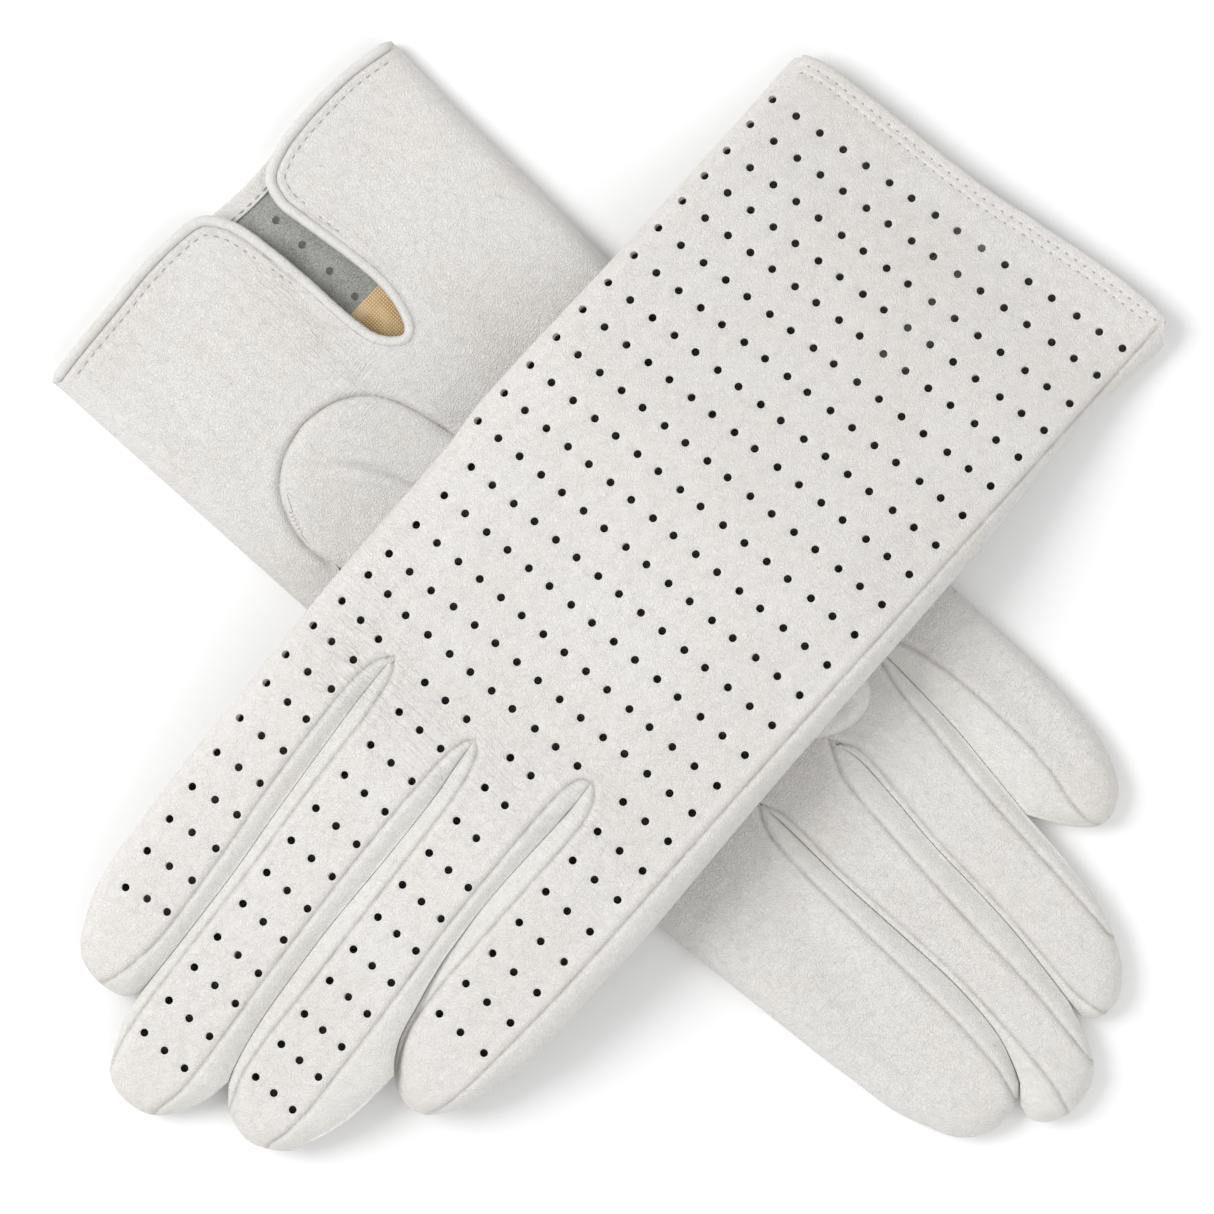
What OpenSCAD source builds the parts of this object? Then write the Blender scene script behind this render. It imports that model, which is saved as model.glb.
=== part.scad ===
// A pair of unlined leather dress gloves, laid flat and crossed.
// The right glove lies palm up on the table; the left glove lies back up across it.
// Each glove has a trank back, a plain palm, side strips between the fingers, a set-in
// thumb, a folded hem on the back of the cuff and a rolled binding round the palm vent.

/* [Leather] */
// leather thickness
wall = 0.6; // [0.5:0.1:0.8]
// height of an empty hand or finger lying flat
hand_h = 6.6; // [6.4:0.1:7.5]
// height of an empty thumb lying on its palm
thumb_h = 5.6; // [5.6:0.1:6.2]
// free height between two layers that rest on each other
layer_gap = 0.2; // [0.2:0.05:0.4]

/* [Cuff] */
// depth of the folded hem on the back of the cuff
hem_w = 3.3; // [2.5:0.1:5]
// radius of the rolled binding
bind_r = 0.8; // [0.6:0.05:0.8]
// depth of the vent in the palm
vent_len = 42.5; // [35:0.5:50]
// label width inside the right glove
label_w = 36; // [20:1:40]
// label depth
label_d = 18.6; // [10:0.2:20]

/* [Knuckle lines] */
// little finger, from the cuff
knuckle_little = 163; // [155:1:170]
// ring finger
knuckle_ring = 172; // [165:1:180]
// middle finger
knuckle_middle = 175; // [168:1:182]
// index finger
knuckle_index = 172; // [165:1:180]
// gap between a finger and the hand it hangs on
knuckle_gap = 0.3; // [0.2:0.05:0.5]
// gap between neighbouring fingers
finger_gap = 0.5; // [0.4:0.1:1]

/* [Thumb] */
// where the thumb bends, from the cuff
thumb_joint = 101; // [90:1:110]
// radius of the round end that the thumb turns on
thumb_round = 14; // [13.8:0.1:15]
// half width of the oval where the thumb is set in
oval_x = 15.6; // [12:0.2:16]
// half length of that oval
oval_y = 15; // [12:0.5:17]

/* [Crossing] */
// angle of the left glove across the right one
cross_deg = -89.2; // [-100:0.1:-80]
// left cuff centre from the right cuff centre, across the right glove
cross_x = -100.8; // [-110:0.1:-90]
// and along it
cross_y = 105.3; // [95:0.1:115]
// height of the left cuff's underside above the table
left_low = 0.6; // [0.6:0.1:1]

/* [Colour] */
// outer leather, the back
c_back = [0.78, 0.76, 0.73];
// outer leather, the palm
c_palm = [0.77, 0.74, 0.72];
// side strips
c_strip = [0.74, 0.72, 0.69];
// thumb
c_thumb = [0.78, 0.75, 0.73];
// suede fold of the hem
c_hem = [0.45, 0.45, 0.43];
// binding
c_bind = [0.66, 0.65, 0.64];
// satin label
c_label = [0.72, 0.55, 0.33];

/* [Hidden] */
eps = 0.02;
hh = hand_h / 2;
th = thumb_h / 2;
kq = 0.8; // share of each half section that is flat
top_z = hand_h + layer_gap + thumb_h + layer_gap + 0.1 + thumb_h + layer_gap; // left palm underside
// the middle of the box round both gloves, in the right glove's own axes
ox = 14.55;
oy = 116.0;
knuckle = [knuckle_little, knuckle_ring, knuckle_middle, knuckle_index];
tips = [[203.2, 228.3, 236.2, 227.9], [201.8, 227.3, 237.3, 223.9]];
crotch_palm = [150, 154, 152]; // little-ring, ring-middle, middle-index
crotch_back = [132, 141, 140];
fall = [0.27, 0.2, 0.2, 0.2]; // slope of each left finger down to the table

// Outer edges, [from cuff, across], little finger side and index side, right glove then left.
hand_lo = [[[-6, -46.3], [1, -46.3], [10, -45.7], [20, -45.1], [40, -44.6], [61, -43.7],
            [100, -43.2], [150, -42.9], [185, -42.3]],
           [[-8, -44.5], [4, -43.4], [10, -42.5], [19, -42.1], [31, -42.5], [50, -43.7],
            [83, -44.3], [110, -44.8], [130, -45.5], [145, -46.1], [185, -45.8]]];
hand_hi = [[[-6, 46], [1, 45.6], [21, 45.2], [50, 44.6], [60, 44.4], [100, 43.8], [150, 42.9],
            [156, 42.7], [167, 41.9], [185, 40.6]],
           [[-8, 45.4], [6, 45.4], [21, 45.1], [56, 45], [93, 45.3], [103, 44.3], [120, 43.9],
            [140, 43.3], [154, 42.5], [165, 41.8], [185, 40.8]]];
// Valleys between the fingers, [from cuff, across]: little-ring, ring-middle, middle-index.
valley = [[[[130, -24.8], [150, -24.6], [170, -23.3], [180, -22.1], [191, -20.5], [200, -19.6]],
           [[130, -7.2], [150, -6.8], [171, -5.6], [182, -4.4], [194, -3.6], [203, -3],
            [213, -1.6], [221, -0.2], [226, 2]],
           [[130, 12.2], [150, 12.3], [163, 12.3], [173, 12.9], [190, 12.3], [202, 12.3],
            [209, 12.7], [216, 13.8], [221.5, 15.8], [225, 17.6], [228, 19.8]]],
          [[[125, -19.2], [160, -19.2], [165, -19.5], [174, -20.4], [181, -21.6], [186, -22.8],
            [192.5, -24.3], [196.4, -26.4], [199, -28.5]],
           [[125, 2.8], [154, 1.4], [169, 0.4], [186, -0.4], [201, -1.8], [211, -3.2],
            [218.6, -5], [222, -6.2]],
           [[125, 25.4], [151, 24.9], [161, 23.4], [176, 21.8], [190, 20.1], [204, 18.9],
            [218.6, 17.9], [222, 17.8]]]];
// Free ends of the fingers past their neighbours, [from cuff, across].
end_lo = [[[[181, -42.5], [190, -41.2], [195, -39.6], [200, -36.9], [202.3, -33.8], [203.2, -31.6]],
           [[191, -20.2], [200, -19.6], [209, -18.5], [214.6, -16.9], [220, -14.6],
            [224.6, -11.5], [227.5, -7.7], [228.3, -5]],
           [[221, 0.1], [224.4, 1.5], [228.5, 2.7], [233, 5.4], [235.2, 8.5], [236.2, 13]],
           [[225, 18], [226.8, 20.4], [227.9, 24.4]]],
          [[[179, -45.9], [184, -45], [191, -43.6], [196, -41.8], [199, -39.6], [200.7, -37.9],
            [201.8, -34.9]],
           [[199, -28.3], [204, -28.4], [210, -27.9], [215, -26.8], [219, -25.4], [223, -23.6],
            [225.4, -20.7], [227.3, -16.2]],
           [[221.3, -5.7], [225.7, -5.4], [230, -3.9], [233.6, -1.8], [235.9, 0.7], [237.3, 5]],
           [[218.6, 18.2], [220.7, 18.5], [222.7, 20.4], [223.9, 24.6]]]];
end_hi = [[[[191, -20.8], [192.7, -21.5], [197, -23.8], [200.4, -26.2], [202.5, -28.5],
            [203.2, -30.2]],
           [[221, -0.5], [223, 0.4], [225.4, 0.2], [227.3, -1.7], [228.3, -4]],
           [[225, 17.3], [228.2, 19], [230.8, 20], [233.5, 19], [235.5, 16.9], [236.2, 14.4]],
           [[180, 40.9], [194, 39.8], [203, 38.8], [210, 38.1], [214.6, 36.9], [218.8, 35.4],
            [222, 34.2], [224.6, 32.3], [226.8, 29.2], [227.9, 26]]],
          [[[186, -23.1], [192.5, -24.6], [196.4, -26.7], [199, -28.9], [200.7, -31.5],
            [201.8, -34.2]],
           [[218.6, -5.4], [221.3, -6.4], [223, -7.5], [225, -9.3], [226.4, -12.1], [227.3, -15]],
           [[218.6, 17.6], [225.7, 16.8], [229.3, 15.4], [233.6, 13.2], [235.4, 11.8],
            [237.3, 7]],
           [[176, 41.4], [186, 40.7], [197, 39.6], [203, 39.1], [208.6, 38.2], [212.9, 36.8],
            [216.8, 35], [220.4, 32.9], [222.5, 30.7], [223.9, 26.2]]]];
// Cuff edge, [across, from cuff], palm then back of the right glove, palm then back of the left.
cuff = [[[[-46, 1], [-36, -0.9], [-27, -1.3], [-13, 0.2], [5, -3], [18, -3.9], [36, -2.8], [46, -1.9]],
         [[-46, 1.2], [-27, -0.6], [-6, 0.2], [18, -2.6], [46, -1.4]]],
        [[[-44, -3.6], [-32, -5.4], [0, -1], [32, 1.2], [45, 3.9]],
         [[-44, -4.3], [-39, -6.4], [-32, -6.3], [-10, -3.4], [0, -1.8], [10, -0.9], [32, 0.5],
          [40, 1.4], [45, 3.9]]]];
// Underside of the left glove: on the table at the cuff, over the right glove in the middle.
drape = [[-9, left_low], [0, left_low], [5, left_low + 0.6], [70, top_z - 1.3], [76, top_z - 0.3],
         [82, top_z], [137, top_z], [143, top_z - 0.4], [149, top_z - 1.4], [185, top_z - 8.6]];
// Half width of the thumb, [from cuff, half width].
thumb_a = [[39.5, 5], [41, 9], [44, 12.6], [48, 15], [54, 16.6], [60, 17], [75, 16.2], [90, 14.6],
           [101, 13.4], [115, 12.4], [130, 11.5], [140, 11], [146, 10.3], [150, 8.6], [153, 5.8],
           [154.8, 3.2]];

function ss(t) = let (u = max(0, min(1, t))) u * u * (3 - 2 * u);
function mix(a, b, t) = a + (b - a) * t;
function steps(a, b, n) = [for (i = [0:n]) mix(a, b, i / n)];
function base(s, y) = s == 0 ? 0 : lookup(y, drape);
function fbase(s, f, y) = y <= knuckle[f] ? base(s, y)
    : s == 0 ? 0 : max(left_low, base(s, knuckle[f]) - fall[f] * (y - knuckle[f]));
function oval_c(y) = y <= 58 ? 18.8 : 18.8 - (y - 58) * 0.3214;
hinge_x = oval_c(thumb_joint);

// parts of a glove: 0 little, 1 ring, 2 middle, 3 index, 4 hand, 5 thumb
function lo_x(s, p, y) = p == 4 ? lookup(y, hand_lo[s]) : p == 5 ? oval_c(y) - lookup(y, thumb_a)
    : y > end_lo[s][p][0][0] ? lookup(y, end_lo[s][p])
    : p == 0 ? lookup(y, hand_lo[s])
    : lookup(y, valley[s][p - 1]) + finger_gap / 2 + (s == 0 && p == 3 ? 0.35 : 0);
function hi_x(s, p, y) = p == 4 ? lookup(y, hand_hi[s]) : p == 5 ? oval_c(y) + lookup(y, thumb_a)
    : y > end_hi[s][p][0][0] ? lookup(y, end_hi[s][p])
    : p == 3 ? lookup(y, hand_hi[s]) : lookup(y, valley[s][p]) - finger_gap / 2;
// upper and lower face of the thumb; the left thumb's end keeps above the right thumb
function thumb_top(s, y) = s == 0 ? hand_h + layer_gap + thumb_h
    : lookup(y > 118 ? mix(y, y + 5, ss((y - 118) / 12)) : y, drape) - layer_gap;
function thumb_low(s, y) = s == 1 && y > 118 ? max(thumb_top(s, y) - thumb_h, top_z - layer_gap - thumb_h)
    : thumb_top(s, y) - thumb_h;
function rise(d, r) = d >= r ? 1 : sqrt(max(0, 1 - pow((r - d) / r, 2)));
function half_h(s, p, y) = p == 4 ? hh
    : p == 5 ? max(wall + 0.15, (thumb_top(s, y) - thumb_low(s, y)) / 2 * rise(y - 39.2, 8) * rise(155.2 - y, 5))
    : max(wall + 0.15, hh * rise(tips[s][p] + 0.1 - y, 5));
function mid_z(s, p, y) = p == 4 ? base(s, y) + hh
    : p == 5 ? (thumb_top(s, y) + thumb_low(s, y)) / 2
    : fbase(s, p, y) + hh;

// One point of the rounded section: q runs -1 to 1 over the top, on to 3 under the bottom.
function sec(q, a, b, o) = let (r = q > 1 ? 2 - q : q < -1 ? -2 - q : q, up = abs(q) > 1 ? -1 : 1,
    m = abs(r), g = max(0, m - kq) / (1 - kq) * 90, e = r < 0 ? -1 : 1, c = min(a, b), i = max(c - o, 0.05))
    [e * (m <= kq ? m / kq * (a - c) : a - c + i * sin(g)), up * (m <= kq ? max(b - o, 0.05)
        : max(b - o, 0.05) * cos(g))];
function skin(s, p, y, q, o) = let (l = lo_x(s, p, y), h = hi_x(s, p, y),
    d = sec(q, (h - l) / 2, half_h(s, p, y), o)) [(l + h) / 2 + d[0], y, mid_z(s, p, y) + d[1]];

// A sheet from two grids of points: o outside, i inside, rows of m points.
module sheet(o, i) {
    n = len(o);
    m = len(o[0]);
    k = n * m;
    polyhedron(concat([for (r = o) for (v = r) v], [for (r = i) for (v = r) v]), concat(
        [for (a = [0:n - 2]) for (b = [0:m - 2]) let (c = a * m + b) for (f = [[c, c + m, c + m + 1],
            [c, c + m + 1, c + 1], [k + c, k + c + m + 1, k + c + m], [k + c, k + c + 1, k + c + m + 1]]) f],
        [for (a = [0:n - 2]) for (c = [a * m]) for (f = [[c, k + c, k + c + m], [c, k + c + m, c + m]]) f],
        [for (a = [0:n - 2]) for (c = [a * m + m - 1]) for (f = [[c, c + m, k + c + m], [c, k + c + m, k + c]]) f],
        [for (b = [0:m - 2]) for (c = [b]) for (f = [[c, c + 1, k + c + 1], [c, k + c + 1, k + c]]) f],
        [for (b = [0:m - 2]) for (c = [(n - 1) * m + b]) for (f = [[c, k + c, k + c + 1], [c, k + c + 1, c + 1]]) f]),
        convexity = 6);
}

function finger_y(s, p) = let (a = knuckle[p] + knuckle_gap / 2, b = tips[s][p])
    concat(steps(a, b - 12, 4), [b - 8, b - 5.4, b - 3.6, b - 2.2, b - 1.1, b - 0.4]);
// part of a finger between two places q on its section
module finger_skin(s, p, q0, q1, n) {
    ys = finger_y(s, p);
    sheet([for (y = ys) [for (q = steps(q0, q1, n)) skin(s, p, y, q, 0)]],
          [for (y = ys) [for (q = steps(q0, q1, n)) skin(s, p, y, q, wall)]]);
}
module strip(s, p, side) {
    q = side > 0 ? kq + eps : -2 + kq + eps;
    finger_skin(s, p, q, q + 2 - 2 * kq - 2 * eps, 4);
}
// hand sheets run from the cuff edge, which is not straight, to past the knuckles
cuff_ys = [0, 0.06, 0.13, 0.2, 0.27, 0.34, 0.41, 0.45, 0.48, 0.62, 0.74, 0.78, 0.82, 0.86, 0.93, 1];
function hand_pt(s, e, v, q, o, in) = let (y0 = mix(0, 178, v), x = skin(s, 4, y0, q, o)[0],
    y = mix(lookup(x, cuff[s][e]) + in, 178, v)) skin(s, 4, y, q, o);
module hand_skin(s, e, qs, in) {
    sheet([for (v = cuff_ys) [for (q = qs) hand_pt(s, e, v, q, 0, in)]],
          [for (v = cuff_ys) [for (q = qs) hand_pt(s, e, v, q, wall, in)]]);
}
// plan shapes that are cut out of the hand: gaps between fingers and all past the knuckles
module slits(s, crotch) {
    for (g = [0:2]) {
        a = crotch[g];
        v = valley[s][g];
        w = hh + 0.35;
        polygon([[lookup(a, v), a], [lookup(a + 7, v) + w, a + 7], [lookup(165, v) + w, 165],
                 [lookup(180, v) + w, 182], [lookup(180, v) - w, 182], [lookup(165, v) - w, 165],
                 [lookup(a + 7, v) - w, a + 7]]);
    }
    for (p = [0:3]) {
        a = p == 0 ? -60 : lookup(170, valley[s][p - 1]) - 0.1;
        b = p == 3 ? 60 : lookup(170, valley[s][p]) + 0.1;
        translate([a, knuckle[p] - knuckle_gap / 2]) square([b - a, 30]);
    }
}
module vent() {
    k = vent_len / 42.5;
    polygon([[-17, -12], [-17, 1], [-13.6, 2.6], [-11.5, 5], [-10.9, 10.7 * k], [-11.6, 18 * k],
             [-12.5, 25 * k], [-12.7, 33 * k], [-12, 38.6 * k], [-10.2, 42.9 * k], [-6.8, 44.2 * k],
             [-3.4, 43 * k], [-1.1, 39.3 * k], [-0.2, 34.3 * k], [0.1, 28.6 * k], [0.1, 21 * k],
             [0.6, 10.7 * k], [1.5, 4.3], [3.3, 0], [6.4, -2], [8, -2.3], [8, -12]]);
}
module cut(s) { translate([0, 0, -3]) linear_extrude(50) children(); }
// the oval that joins hand and thumb
function oval(r, n) = [for (i = [0:n - 1]) [18.8 + (oval_x + r) * cos(i * 360 / n), 56.5
    + (oval_y + r) * sin(i * 360 / n)]];
module oval_cut() { translate([0, 0, -3]) linear_extrude(50) polygon(oval(0.05, 32)); }
// wall between two closed plan outlines a (outside) and b (inside), z0 to z1 above the drape
module ring_wall(s, a, b, z0, z1) {
    n = len(a);
    pts = concat([for (p = a) [p[0], p[1], base(s, p[1]) + z0]], [for (p = a) [p[0], p[1], base(s, p[1]) + z1]],
                 [for (p = b) [p[0], p[1], base(s, p[1]) + z1]], [for (p = b) [p[0], p[1], base(s, p[1]) + z0]]);
    polyhedron(pts, [for (k = [0:3]) for (i = [0:n - 1]) let (j = (i + 1) % n, c = k * n, d = (k + 1) % 4 * n)
        for (f = [[c + i, d + i, d + j], [c + i, d + j, c + j]]) f], convexity = 6);
}
module plug(s, a, z0, z1) {
    n = len(a);
    pts = concat([for (p = a) [p[0], p[1], base(s, p[1]) + z0]], [for (p = a) [p[0], p[1], base(s, p[1]) + z1]],
                 [[18.8, 56.5, base(s, 56.5) + z0], [18.8, 56.5, base(s, 56.5) + z1]]);
    polyhedron(pts, [for (i = [0:n - 1]) let (j = (i + 1) % n) for (f = [[i, n + i, n + j], [i, n + j, j],
        [2 * n, i, j], [2 * n + 1, n + j, n + i]]) f], convexity = 6);
}
thumb_q = [-0.99, -0.95, -0.9, -0.8, -0.4, 0, 0.4, 0.8, 0.9, 1, 1.1, 1.2, 1.6, 2, 2.4, 2.8, 2.9, 2.95, 2.99];
module thumb_skin(s, ys) {
    sheet([for (y = ys) [for (q = thumb_q) skin(s, 5, y, q, 0)]],
          [for (y = ys) [for (q = thumb_q) skin(s, 5, y, q, wall)]]);
}
module thumb_base(s) {
    // the ring stands in the palm's oval hole; the tube is open to it
    z0 = s == 0 ? hand_h - wall : -layer_gap - wall + 0.05;
    z1 = s == 0 ? hand_h + layer_gap + wall - 0.05 : wall;
    color(c_thumb) difference() {
        union() {
            difference() {
                thumb_skin(s, [39.5, 41, 43, 46, 50, 60, 70, 82, 94, 106]);
                translate([hinge_x, thumb_joint, -1]) cylinder(r = thumb_round + 0.25, h = 40, $fn = 64);
                translate([-40, thumb_joint, -1]) cube([100, 20, 40]);
            }
            ring_wall(s, oval(0, 32), oval(-1, 32), z0, z1);
        }
        plug(s, oval(-1, 32), s == 0 ? hand_h - 1 : -th - 0.4, s == 0 ? hand_h + th + 0.4 : 1.2);
    }
}
module thumb_tip(s) color(c_thumb) difference() {
    thumb_skin(s, [84, 92, 101, 110, 120, 130, 140, 146, 149, 151.5, 153.3, 154.6]);
    translate([0, 0, -1]) linear_extrude(40) difference() {
        translate([-50, 60]) square([120, thumb_joint - 60]);
        translate([hinge_x, thumb_joint]) circle(r = thumb_round - 0.05, $fn = 64);
    }
}
// side strips on the hand, joined by a small gusset at the root of the fingers
module fork(s, g) {
    q = steps(0, 1, 4);
    a = s == 0 ? crotch_palm[g] + 7.2 : crotch_back[g] + 7.2;
    b = s == 0 ? crotch_back[g] + 7.2 : crotch_palm[g] + 7.2;
    color(c_strip) {
        for (e = [0, 1]) {
            p = g + e;
            end = knuckle[p] - knuckle_gap / 2;
            rows = [0, 0.33, 0.66, 1];
            at = function (t, v, o) skin(s, p, mix(mix(a, b, e == 0 ? t : 1 - t), end, v),
                e == 0 ? mix(kq + eps, 2 - kq - eps, t) : mix(-2 + kq + eps, -kq - eps, t), o);
            sheet([for (v = rows) [for (t = q) at(t, v, 0)]], [for (v = rows) [for (t = q) at(t, v, wall)]]);
        }
        y = max(a, b) + 1;
        x = lookup(y, valley[s][g]);
        translate([x - 0.7, y, base(s, y) + hh - 1.2]) cube([1.4, 2.4, 1.6]);
    }
}
// fingers: top and bottom sheets; the outer edges wrap round to the other side's seam
module finger_top(s, p, c) color(c)
    if (p == 3) { finger_skin(s, p, -kq, s == 0 ? 0.92 : 1.1, 7); }
    else if (p == 0) { finger_skin(s, p, s == 0 ? -1.18 : -kq, kq, 7); }
    else { finger_skin(s, p, -kq, kq, 4); }
module finger_under(s, p, c) color(c)
    if (p == 3) { finger_skin(s, p, s == 0 ? 0.94 : 1.12, 2 + kq, 7); }
    else if (p == 0) { finger_skin(s, p, 2 - kq, s == 0 ? 2.8 : 3.18, 7); }
    else { finger_skin(s, p, 2 - kq, 2 + kq, 4); }

flat_q = steps(-kq, kq, 8);
module right_palm() color(c_palm) difference() {
    hand_skin(0, 0, concat([-1.18, -1.09, -1, -0.93, -0.87], flat_q, [0.87, 0.93]), 2 * bind_r + 0.1);
    cut() { slits(0, crotch_palm); vent(); }
    oval_cut();
    binding(0, bind_r + 0.04);
}
module right_back() color(c_back) difference() {
    hand_skin(0, 1, concat([0.95, 1.02, 1.1], [for (q = flat_q) 2 + q]), 0);
    cut() slits(0, crotch_back);
}
module left_back() color(c_back) difference() {
    hand_skin(1, 1, concat(flat_q, [0.87, 0.93, 1, 1.1]), 0);
    cut() slits(1, crotch_back);
}
module left_palm() color(c_palm) difference() {
    hand_skin(1, 0, concat([1.12], [for (q = flat_q) 2 + q], [2.87, 2.94, 3, 3.09, 3.18]), 2 * bind_r + 0.1);
    cut() { slits(1, crotch_palm); vent(); }
    oval_cut();
    binding(1, bind_r + 0.04);
}
module hem(s) {
    f = function (q, d, o) let (x = skin(s, 4, 0, q, o)[0]) skin(s, 4, lookup(x, cuff[s][1]) + d, q, o);
    qs = s == 0 ? [for (q = flat_q) 2 + q] : flat_q;
    color(c_hem) sheet([for (d = [0.1, hem_w]) [for (q = qs) f(q, d, wall + eps)]],
                       [for (d = [0.1, hem_w]) [for (q = qs) f(q, d, 2 * wall + eps)]]);
}
// rolled binding along the palm's cuff edge and round the vent
vent_path = [[-13.4, 1.3], [-11, 2.8], [-9.9, 4.8], [-9.2, 8], [-9.6, 12], [-10.2, 17], [-11, 24],
             [-11.3, 32], [-10.3, 37.6], [-8.6, 41.4], [-6.7, 42.5], [-4.6, 41.4], [-2.4, 38.2],
             [-1.6, 34], [-1.3, 28.6], [-1.2, 21], [-0.7, 12], [0.2, 5], [1.9, 0.9], [4.2, -1.6]];
module binding(s, r = bind_r) {
    k = vent_len / 42.5;
    z = s == 0 ? hand_h - 0.2 : 0.2;
    edge = function (x) [x, lookup(x, cuff[s][0]) + bind_r];
    path = concat([for (x = [-40, -34, -27, -20]) edge(x)], [for (p = vent_path) [p[0], p[1] > 6 ? p[1] * k : p[1]]],
                  [for (x = [9, 18, 27, 34, 40]) edge(x)]);
    n = len(path);
    color(c_bind) sweep([for (i = [0:n - 1]) let (a = path[max(0, i - 1)], b = path[min(n - 1, i + 1)],
        t = (b - a) / norm(b - a), p = path[i]) [for (j = [0:7]) let (c = r * cos(j * 45), h = r * sin(j * 45))
            [p[0] - t[1] * c, p[1] + t[0] * c, base(s, p[1]) + z + h]]]);
}
module sweep(r) {
    n = len(r);
    m = len(r[0]);
    polyhedron([for (a = r) for (v = a) v], concat([[for (j = [0:m - 1]) j]], [[for (j = [m - 1:-1:0]) (n - 1) * m + j]],
        [for (i = [0:n - 2]) for (j = [0:m - 1]) let (c = i * m, k = (j + 1) % m)
            for (f = [[c + j, c + m + j, c + m + k], [c + j, c + m + k, c + k]]) f]), convexity = 6);
}
module label() color(c_label) translate([-24, 31.4, wall + eps]) cube([label_w, label_d, 0.3]);

module right() { translate([-ox, -oy, 0]) children(); }
module left() { translate([cross_x - ox, cross_y - oy, 0]) rotate([0, 0, cross_deg]) children(); }

right() right_palm();
right() right_back();
right() thumb_base(0);  // right_thumb_base
right() thumb_tip(0);  // right_thumb_tip
right() hem(0);  // right_hem
right() binding(0);  // right_binding
right() label();  // right_label
right() fork(0, 0);  // right_fork_little_ring
right() fork(0, 1);  // right_fork_ring_middle
right() fork(0, 2);  // right_fork_middle_index
right() finger_top(0, 0, c_palm);  // right_little_palm
right() finger_under(0, 0, c_back);  // right_little_back
right() color(c_strip) strip(0, 0, 1);  // right_little_strip
right() finger_top(0, 1, c_palm);  // right_ring_palm
right() finger_under(0, 1, c_back);  // right_ring_back
right() color(c_strip) strip(0, 1, -1);  // right_ring_strip_a
right() color(c_strip) strip(0, 1, 1);  // right_ring_strip_b
right() finger_top(0, 2, c_palm);  // right_middle_palm
right() finger_under(0, 2, c_back);  // right_middle_back
right() color(c_strip) strip(0, 2, -1);  // right_middle_strip_a
right() color(c_strip) strip(0, 2, 1);  // right_middle_strip_b
right() finger_top(0, 3, c_palm);  // right_index_palm
right() finger_under(0, 3, c_back);  // right_index_back
right() color(c_strip) strip(0, 3, -1);  // right_index_strip
left() left_palm();
left() left_back();
left() thumb_base(1);  // left_thumb_base
left() thumb_tip(1);  // left_thumb_tip
left() hem(1);  // left_hem
left() binding(1);  // left_binding
left() fork(1, 0);  // left_fork_little_ring
left() fork(1, 1);  // left_fork_ring_middle
left() fork(1, 2);  // left_fork_middle_index
left() finger_under(1, 0, c_palm);  // left_little_palm
left() finger_top(1, 0, c_back);  // left_little_back
left() color(c_strip) strip(1, 0, 1);  // left_little_strip
left() finger_under(1, 1, c_palm);  // left_ring_palm
left() finger_top(1, 1, c_back);  // left_ring_back
left() color(c_strip) strip(1, 1, -1);  // left_ring_strip_a
left() color(c_strip) strip(1, 1, 1);  // left_ring_strip_b
left() finger_under(1, 2, c_palm);  // left_middle_palm
left() finger_top(1, 2, c_back);  // left_middle_back
left() color(c_strip) strip(1, 2, -1);  // left_middle_strip_a
left() color(c_strip) strip(1, 2, 1);  // left_middle_strip_b
left() finger_under(1, 3, c_palm);  // left_index_palm
left() finger_top(1, 3, c_back);  // left_index_back
left() color(c_strip) strip(1, 3, -1);  // left_index_strip
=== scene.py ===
import math

import bpy
import numpy as np
from mathutils import Matrix, Vector
from mathutils.geometry import delaunay_2d_cdt


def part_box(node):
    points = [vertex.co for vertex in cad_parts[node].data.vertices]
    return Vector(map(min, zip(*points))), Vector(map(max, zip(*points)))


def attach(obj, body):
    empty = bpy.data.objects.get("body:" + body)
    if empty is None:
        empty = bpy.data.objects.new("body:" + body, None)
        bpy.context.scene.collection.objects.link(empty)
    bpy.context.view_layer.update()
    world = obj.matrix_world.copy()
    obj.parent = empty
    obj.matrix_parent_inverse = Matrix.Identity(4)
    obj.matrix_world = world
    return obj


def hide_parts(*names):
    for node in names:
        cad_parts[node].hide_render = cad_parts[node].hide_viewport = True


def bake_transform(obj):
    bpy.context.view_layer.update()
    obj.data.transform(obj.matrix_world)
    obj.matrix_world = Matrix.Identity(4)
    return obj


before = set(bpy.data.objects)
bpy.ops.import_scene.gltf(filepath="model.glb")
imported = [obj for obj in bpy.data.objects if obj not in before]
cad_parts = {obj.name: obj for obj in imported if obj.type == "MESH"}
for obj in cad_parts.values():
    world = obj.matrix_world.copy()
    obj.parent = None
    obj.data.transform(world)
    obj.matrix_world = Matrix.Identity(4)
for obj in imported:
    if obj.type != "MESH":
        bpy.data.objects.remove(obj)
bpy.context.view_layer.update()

RIGHT, LEFT = 0, 1
NAMES = ("right", "left")
FINGERS = ("little", "ring", "middle", "index")
WALL = 0.6  # leather, mm
HOLE = 0.79  # radius of a perforation, mm
HOLE_SIDES = 12
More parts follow.
